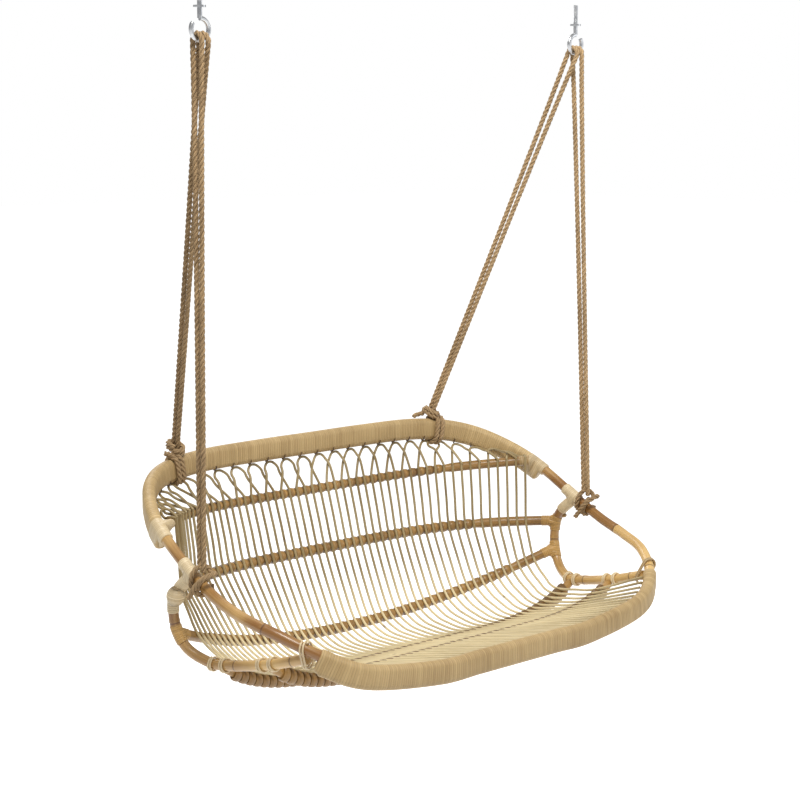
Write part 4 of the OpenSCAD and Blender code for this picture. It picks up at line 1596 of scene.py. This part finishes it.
@dataclass
class Bands:
    """The back and the front band: two poles side by side under a tight binding of flat cane.

    strip is the width of a strip of cane, corners the number in the binding's outline,
    pole_inset how far inside the binding the lower pole ends, and over how far the cane at a
    band's ends lies over the binding. web_reach and corner_reach are how far that cane reaches
    before and past the end of the back and the front band, and rail_reach where it starts and
    stops before the upper rail's end.
    """

    bench: Bench
    strip: float = 5.6
    corners: int = 28
    pole_inset: float = 8
    over: float = 1.2
    web_reach: tuple[float, float] = (46, 13)
    rail_reach: tuple[float, float] = (28, 2)
    corner_reach: tuple[float, float] = (16, 10)

    def _band(self, line: Line, reach: float, seed: int, pale: float) -> Strand:
        """Binds one band, strip by strip.

        Args:
            line: The band's upper pole.
            reach: The band's half length.
            seed: The seed of the strips' tints.
            pale: How much paler the binding is painted towards the band's ends, as light falling
                there.

        Returns:
            The binding.
        """
        lines = self.bench.lines
        under = lines.under(line, reach - self.pole_inset)
        cover = lines.binding_t + lines.seat_gap
        band = Binding(line, lines.pole_r, [(under, lines.pole_r)], cover, self.strip,
                       self.corners, tint=0.5, spread=0.065).strand(-reach, reach, seed)
        s = np.linspace(-1, 1, len(band.points))
        # The band's ends are painted paler, as light falling on them
        band.tint = np.clip(band.tint + pale * np.clip((abs(s) - 0.6) / 0.35, 0, 1), 0, 1)
        return band

    def _webs(self, tint: float, rail_r: float) -> list[Strand]:
        """Winds the cane that closes the back band's end, round arm, band and upper rail.

        Args:
            tint: Light or dark.
            rail_r: The radius of the rail's end.

        Returns:
            The turns round the band's end, and those round the rail's.
        """
        lines = self.bench.lines
        under = lines.under(lines.ring, lines.band_end - self.pole_inset)
        bound = [(under, lines.pole_r), (lines.upper, lines.upper_rail_r)]
        end = Binding(lines.ring, lines.pole_r, bound, lines.binding_t + self.over, tint=tint,
                      spread=0.06, taper=1.7)
        rail = Binding(lines.upper, rail_r, cover=self.over, tint=0.2)
        length = lines.upper.length
        before, past = self.web_reach
        start, stop = self.rail_reach
        return [end.strand(lines.band_end - before, lines.band_end + past, seed=7),
                rail.strand(length - start, length - stop, seed=8)]

    def build(self) -> None:
        """Makes both bands and their webs, and dresses the poles inside them."""
        lines = self.bench.lines
        reach = lines.front_reach
        before, past = self.corner_reach
        under = lines.under(lines.front, reach - self.pole_inset)
        corner = Binding(lines.front, lines.pole_r, [(under, lines.pole_r)],
                         lines.binding_t + self.over, tint=0.62, taper=0.6)
        corners = both_halves([corner.strand(reach - before, reach + past, seed=9)])
        back = self._band(lines.ring, lines.band_end, seed=3, pale=0.3)
        front = self._band(lines.front, reach, seed=5, pale=0.1)
        self.bench.add("back_binding_strips", [back], BINDING, ["back_binding"])
        self.bench.add("front_binding_strips", [front, *corners], BINDING, ["front_binding"])
        rail_r = lines.upper_rail_r
        swell = BARE_SWELL["upper_rail"]
        self.bench.add("band_web_right", self._webs(0.45, rail_r + swell), CANE)
        self.bench.add("band_web_left", [s.mirrored() for s in self._webs(0.62, rail_r)], CANE)
        for name in ("back_top_pole", "back_under_pole", "front_top_pole", "front_under_pole"):
            self.bench.dress_node(name, POLE)


@dataclass
class Arms:
    """The two arms between the bands, of one bent pole each."""

    bench: Bench

    def build(self) -> None:
        """Makes the arms."""
        lines = self.bench.lines
        start, end = lines.band_end - lines.arm_hold, lines.front_band_start + lines.arm_hold
        points = lines.ring.between(start, end, 2)
        run = Line(points).run
        # The joint at which the pole's tone changes, and its tones before and after it
        for side, joint, tones in (("right", 310, (0.16, 0.8)), ("left", 389, (0.3, 0.12))):
            factor, ring = canes(run, (128, joint, joint + 190))
            tint = np.where(run < joint, *tones) + 0.14 * np.sin(run / 23) * bell(run, 40, 60)
            arm = Strand(points, lines.pole_r * factor, 18, tint=tint, ring=ring)
            self.bench.add(f"arm_{side}_pole", [arm if side == "right" else arm.mirrored()],
                           POLE, [f"arm_{side}"])


@dataclass
class SidePoles:
    """The two poles that bend from the arms down behind the seat to the front corners.

    joints are the lengths at which they have one, pale_from the length from which they turn
    paler and pale_fade that over which it happens.
    """

    bench: Bench
    joints: tuple[float, ...] = (130, 330, 500)
    pale_from: float = 220
    pale_fade: float = 70

    def build(self) -> None:
        """Makes the side poles."""
        lines = self.bench.lines
        points = lines.side.between(0, lines.side.length, 2)
        run = Line(points).run
        factor, ring = canes(run, self.joints)
        paler = np.clip((run - self.pale_from) / self.pale_fade, 0, 1)
        pole = Strand(points, lines.side_r * factor, 18, start=(1, 0, 0),
                      tint=0.22 + 0.5 * paler, ring=ring)
        self.bench.add("side_pole_right_cane", [pole], POLE, ["side_pole_right"])
        self.bench.add("side_pole_left_cane", [pole.mirrored()], POLE, ["side_pole_left"])


@dataclass
class Rails:
    """The five rails that the spindles lie on.

    bare_darker is how much darker a rail is past its beads, bare_fade the length over which
    that sets in, and end_fade the length at the rail's end over which it thins again.
    """

    bench: Bench
    bare_darker: float = 0.26
    bare_fade: float = 24
    end_fade: float = 12

    def build(self) -> None:
        """Makes the rails from end to end."""
        lines = self.bench.lines
        # Name, line, radius and the joints, from the middle
        rails = (("upper_rail", lines.upper, lines.upper_rail_r, (-300, 60, 390)),
                 ("middle_rail", lines.middle, lines.back_rail_r, (-390, -40, 310)),
                 ("lower_rail", lines.lower, lines.back_rail_r, (-250, 130, 420)),
                 ("rear_seat_rail", lines.rear, lines.seat_rail_r, (-340, 20, 330)),
                 ("front_seat_rail", lines.fore, lines.seat_rail_r, (-200, 210)))
        for name, line, radius, joints in rails:
            half = line.between(0, line.length, 4)
            points = np.vstack([half[:0:-1] * MIRROR, half])
            run = Line(points).run
            factor, ring = canes(run, [line.length + s for s in joints])
            bare = self._bare(name, line, run - line.length)
            factor = factor + BARE_SWELL.get(name, 0) / radius * bare
            tint = 0.5 + 0.12 * np.sin(run / 130) - self.bare_darker * bare
            rail = Strand(points, radius * factor, 16, tint=tint, ring=ring)
            self.bench.add(f"{name}_cane", [rail], RAIL, [name])

    def _bare(self, name: str, line: Line, s: np.ndarray) -> np.ndarray:
        """Finds where a rail runs on past its beads.

        Args:
            name: The rail's name.
            line: The rail.
            s: The lengths along it, below 0 on the left half.

        Returns:
            1 where the rail is bare, and 0 elsewhere.
        """
        beaded = BEADED.get(name)
        if beaded is None:
            return np.zeros(len(s))
        left, right = (self.bench.lines.leg_pitch(name) * legs for legs in beaded)
        past = np.where(s > 0, s - right, -s - left)
        near_end = np.clip((line.length - np.abs(s)) / self.end_fade, 0, 1)
        return np.clip(past / self.bare_fade, 0, 1) * near_end


@dataclass
class Spindles:
    """Thirteen pairs of loops that hang under the back band and run on along the seat.

    tint is the canes' tone on the back, painted darker there as shade, and paler the painted
    light that the seat adds to it, from the depth seat_z below the ceiling and over seat_fade.
    """

    bench: Bench
    tint: float = 0.17
    # The painted light that the seat adds
    paler: float = 0.6
    seat_z: float = 1310
    seat_fade: float = 90

    def build(self) -> None:
        """Makes each pair, the right loop and the left one."""
        lines = self.bench.lines
        chance = np.random.default_rng(11)
        for k in range(1, lines.pairs + 1):
            path = lines.hairpin(k)
            pair = []
            for side in (1, -1):
                points = path * np.array([side, 1, 1])
                run = Line(points).run
                joints = np.arange(chance.uniform(20, 300), run[-1], chance.uniform(260, 420))
                factor, ring = canes(run, joints, 0.03)
                # The cane is one tone all along: the seat is painted paler as light, the back
                # darker as shade
                seat = np.clip((-points[:, 2] - self.seat_z) / self.seat_fade, 0, 1)
                tint = self.tint + self.paler * seat + chance.normal(0, 0.05)
                pair.append(Strand(points, lines.spindle_r * factor, 10, tint=tint, ring=0.6 * ring,
                                   start=(side, 0, 0)))
            self.bench.add(f"spindle_pair_{k:02d}_canes", pair, SPINDLE, [f"spindle_pair_{k:02d}"])
        self.bench.add("loop_pegs", self._pegs(), PEG)

    def _pegs(self) -> list[Strand]:
        """Sets the short dark pegs that hold each loop to the back band.

        Returns:
            The pegs.
        """
        lines = self.bench.lines
        # Degrees below the level, from the band's underside to its face, and the lean sideways
        bend = ((95, 0), (70, -1), (40, -3), (12, -4))
        pegs = []
        for k in range(1, lines.pairs + 1):
            for side in (1, -1):
                s = (2 * k - 1) * lines.band_pitch - side * 0.55 * lines.loop_reach
                if abs(s - lines.rear_wrap_at) < 16 or s > lines.band_end - 90:
                    continue
                level, upright = lines.ring.level(s), lines.ring.upright(s)
                under = lines.ring.at(s) - lines.pole_step * upright
                points = []
                for degrees, lean in bend:
                    q = math.radians(degrees)
                    out = (lines.sleeve_r + 1.6) * (math.cos(q) * level - math.sin(q) * upright)
                    points.append(under + out + side * lean * lines.ring.heading(s))
                peg = Strand(smooth(points, 4), 1, 8, tint=0.3, tip=Tip.ROUND)
                peg.radius = np.linspace(1.9, 0.9, len(peg.points))
                pegs.append(peg if side > 0 else peg.mirrored())
        return pegs


@dataclass
class Windings:
    """Cane wound round the seat rails between the legs, and beads of it on the back rails.

    tint is the seat rails' cane's tone, and the painted shade how dark it is on top, under the
    legs. turns, edge_turns and middle_turns are the first and the last turn of the strips, of
    their pale edges and of the turn in the middle.
    """

    bench: Bench
    tint: float = 0.3
    # How dark the cane is painted on top, as shade under the legs
    painted_shade: float = 0.62
    turns: tuple[float, float] = (0.6, 26.2)
    edge_turns: tuple[float, float] = (0.97, 26.3)
    middle_turns: tuple[float, float] = (-0.5, 0.53)

    def _seat_rail(self, name: str, line: Line, pitch: float) -> None:
        """Makes the windings of one seat rail.

        Args:
            name: The rail's name.
            line: The rail.
            pitch: The distance between the legs on it.
        """
        lines = self.bench.lines
        radius = lines.seat_rail_r + lines.seat_gap + lines.cane_r + 0.8
        strip = strip_round(line, pitch, self.turns, radius, (3.7, 0.45 * pitch),
                            self.tint, self.painted_shade)
        # The pale edges also take painted shade on top, under the legs
        edge = strip_round(line, pitch, self.edge_turns, radius + 1.0, (1.2, 1.0),
                           tint=0.8, painted_shade=0.7)
        for side, cane, rim in (("right", strip, edge),
                                ("left", strip.mirrored(), edge.mirrored())):
            self.bench.add(f"{name}_winding_{side}_cane", [cane], BROWN_CANE,
                           [f"{name}_winding_{side}"])
            self.bench.add(f"{name}_winding_{side}_edge", [rim], CANE)
        # One turn without advance closes the gap between the two halves
        middle = strip_round(line, 0, self.middle_turns, radius + 0.7, (3.4, 0.3 * pitch),
                             self.tint, self.painted_shade)
        self.bench.add(f"{name}_winding_middle", [middle], BROWN_CANE)

    def build(self) -> None:
        """Makes the windings of the seat rails and the beads of the back rails."""
        lines = self.bench.lines
        self._seat_rail("rear", lines.rear, lines.rear_pitch)
        self._seat_rail("front", lines.fore, lines.fore_pitch)
        for name, line, size in (("upper_rail", lines.upper, lines.upper_rail_r),
                                 ("middle_rail", lines.middle, lines.back_rail_r),
                                 ("lower_rail", lines.lower, lines.back_rail_r)):
            pitch = lines.leg_pitch(name)
            beads = Binding(line, size, cover=0.3, strip=pitch / 3, corners=14, tint=0.5,
                            spread=0.13, swell=3.4, pitch=pitch)
            left, right = (beads.strand(0, legs * pitch, seed=31) for legs in BEADED[name])
            self.bench.add(f"{name}_winding", [right, left.mirrored()], RAIL)


@dataclass
class Lashings:
    """Cane turns round the joints of the arms, side poles and rails.

    tie_pitch is the advance of a tie's turns, arm_reach how far an arm's lashing reaches before
    and past the side pole, branch_reach where it starts and stops on the side pole, rail_reach
    how far a rail's end is bound and end_swell how much thicker it is there.
    """

    bench: Bench
    tie_pitch: float = 6.2
    arm_reach: tuple[float, float] = (34, 20)
    branch_reach: tuple[float, float] = (2, 44)
    rail_reach: float = 24
    end_swell: float = 2

    def _tie(self, start: float) -> Strand:
        """Ties two turns of cane round the side pole, beside a seat rail's end.

        Args:
            start: The length along the side pole where the turns start.

        Returns:
            The tie.
        """
        lines = self.bench.lines
        radius = lines.side_r + 0.4 + lines.seat_gap + lines.cane_r
        points = winding(lines.side, start, self.tie_pitch, radius, (0, 2))
        return Strand(points, lines.cane_r, 8, tint=0.7, tip=Tip.ROUND)

    def _corner_tie(self, tint: float) -> Strand:
        """Ties the side pole's front end to the arm above it.

        Args:
            tint: Light or dark.

        Returns:
            The tie.
        """
        lines = self.bench.lines
        ring, side = lines.ring, lines.side
        middle = Line([mix(ring.at(lines.side_to - d), side.at(side.length - d), 0.5)
                       for d in (32, 24, 16, 8, 0)])
        v = side.at(side.length - 14) - ring.at(lines.side_to - 14)
        t = middle.heading(20)
        w = unit(np.cross(t, UP))
        half = (float(np.dot(v, w)) / 2, float(np.dot(v, np.cross(w, t))) / 2)
        radius = lines.pole_r + lines.seat_gap + lines.cane_r + 1.8
        points = winding(middle, 17, self.tie_pitch, radius, (0.06, 2.06), half)
        return Strand(points, lines.cane_r, 8, tint=tint)

    def _rail_joint(self, at: float, rail: Line, size: float, spread: tuple[float, float],
                    tint: float) -> list[Strand]:
        """Binds the side pole where a rail meets it, and the rail's end.

        Args:
            at: The length along the side pole where the rail meets it.
            rail: The rail.
            size: The rail's radius.
            spread: How far the binding reaches above and below the rail.
            tint: Light or dark.

        Returns:
            The two bindings.
        """
        lines = self.bench.lines
        size += self.end_swell
        end = Line([rail.at(rail.length - 1), rail.at(rail.length - 0.5)])
        round_pole = Binding(lines.side, lines.side_r, [(end, size)], 1.7, tint=tint, taper=0.9)
        on_rail = Binding(rail, size, cover=1.1, tint=tint)
        return [round_pole.strand(at - spread[0], at + spread[1], seed=21),
                on_rail.strand(rail.length - self.rail_reach, rail.length - 1, seed=22)]

    def _ball(self, at: float, rail: Line, size: float) -> Strand:
        """Makes the ball of cane that closes a joint on the side pole's outer side.

        Args:
            at: The length along the side pole where the rail meets it.
            rail: The rail.
            size: How far the ball swells.

        Returns:
            The ball.
        """
        lines = self.bench.lines
        out = unit(rail.heading(rail.length - 5) * np.array([1, 1, 0]) + np.array([0.2, -0.3, 0]))
        along = lines.side.heading(at)
        middle = lines.side.at(at - 18) + (lines.side_r + size / 3) * out
        line = Line([middle - 1.5 * size * along, middle + 1.5 * size * along])
        return Binding(line, 3, cover=2, strip=4.4, tint=0.75, swell=size, pitch=line.length,
                       peak=line.length / 2).strand(0.5, line.length - 0.5, seed=23)

    def build(self) -> None:
        """Makes the lashings and ties of both sides."""
        lines = self.bench.lines
        pole = lines.side_r
        joint = Binding(lines.ring, lines.pole_r, [(lines.side, pole)], 2.6, tint=0.72, taper=0.8)
        branch = Binding(lines.side, pole, tint=0.72)
        before, past = self.arm_reach
        arm = [joint.strand(lines.side_from - before, lines.side_from + past, seed=11),
               branch.strand(*self.branch_reach, seed=12)]
        middle = self._rail_joint(lines.middle_from, lines.middle, lines.back_rail_r,
                                  spread=(16, 26), tint=0.8)
        lower = self._rail_joint(lines.lower_from, lines.lower, lines.back_rail_r,
                                 spread=(18, 26), tint=0.9)
        for name, strands, left, right in (("arm_lashing", arm, CANE, CANE),
                                           ("middle_lashing", middle, CANE, BROWN_CANE),
                                           ("lower_lashing", lower, BROWN_CANE, BROWN_CANE)):
            self.bench.add(f"{name}_right_cane", strands, right, [f"{name}_right"])
            self.bench.add(f"{name}_left_cane", [s.mirrored() for s in strands], left,
                           [f"{name}_left"])
        for side, tie in (("right", self._corner_tie(0.15)),
                          ("left", self._corner_tie(0.6).mirrored())):
            self.bench.add(f"corner_tie_{side}_cane", [tie], CANE, [f"corner_tie_{side}"])
        left, right = (self._ball(lines.middle_from, lines.middle, size) for size in (15, 4))
        self.bench.add("joint_ball_left", [left.mirrored()], CANE)
        self.bench.add("joint_ball_right", [right], BROWN_CANE)
        off = lines.seat_rail_r + 2 * lines.cane_r + 2
        for name, start in (("rear", lines.rear_from), ("front", lines.fore_from)):
            ties = [self._tie(start + m * off - self.tie_pitch) for m in (-1, 1)]
            self.bench.add(f"{name}_rail_ties_cane", both_halves(ties), CANE, [f"{name}_rail_ties"])


def main() -> None:
    """Builds the studio and every sub-assembly in order."""
    logging.basicConfig(level=logging.INFO, format="%(message)s")
    Studio().build()
    bench = Bench(BenchLines())
    for part in (Ropes(bench), Hooks(bench), Bands(bench), Arms(bench), SidePoles(bench),
                 Rails(bench), Spindles(bench), Windings(bench), Lashings(bench)):
        part.build()
    LOG.info("%d pieces in all", bench.count)
    bpy.context.view_layer.update()


if __name__ == "__main__":
    main()
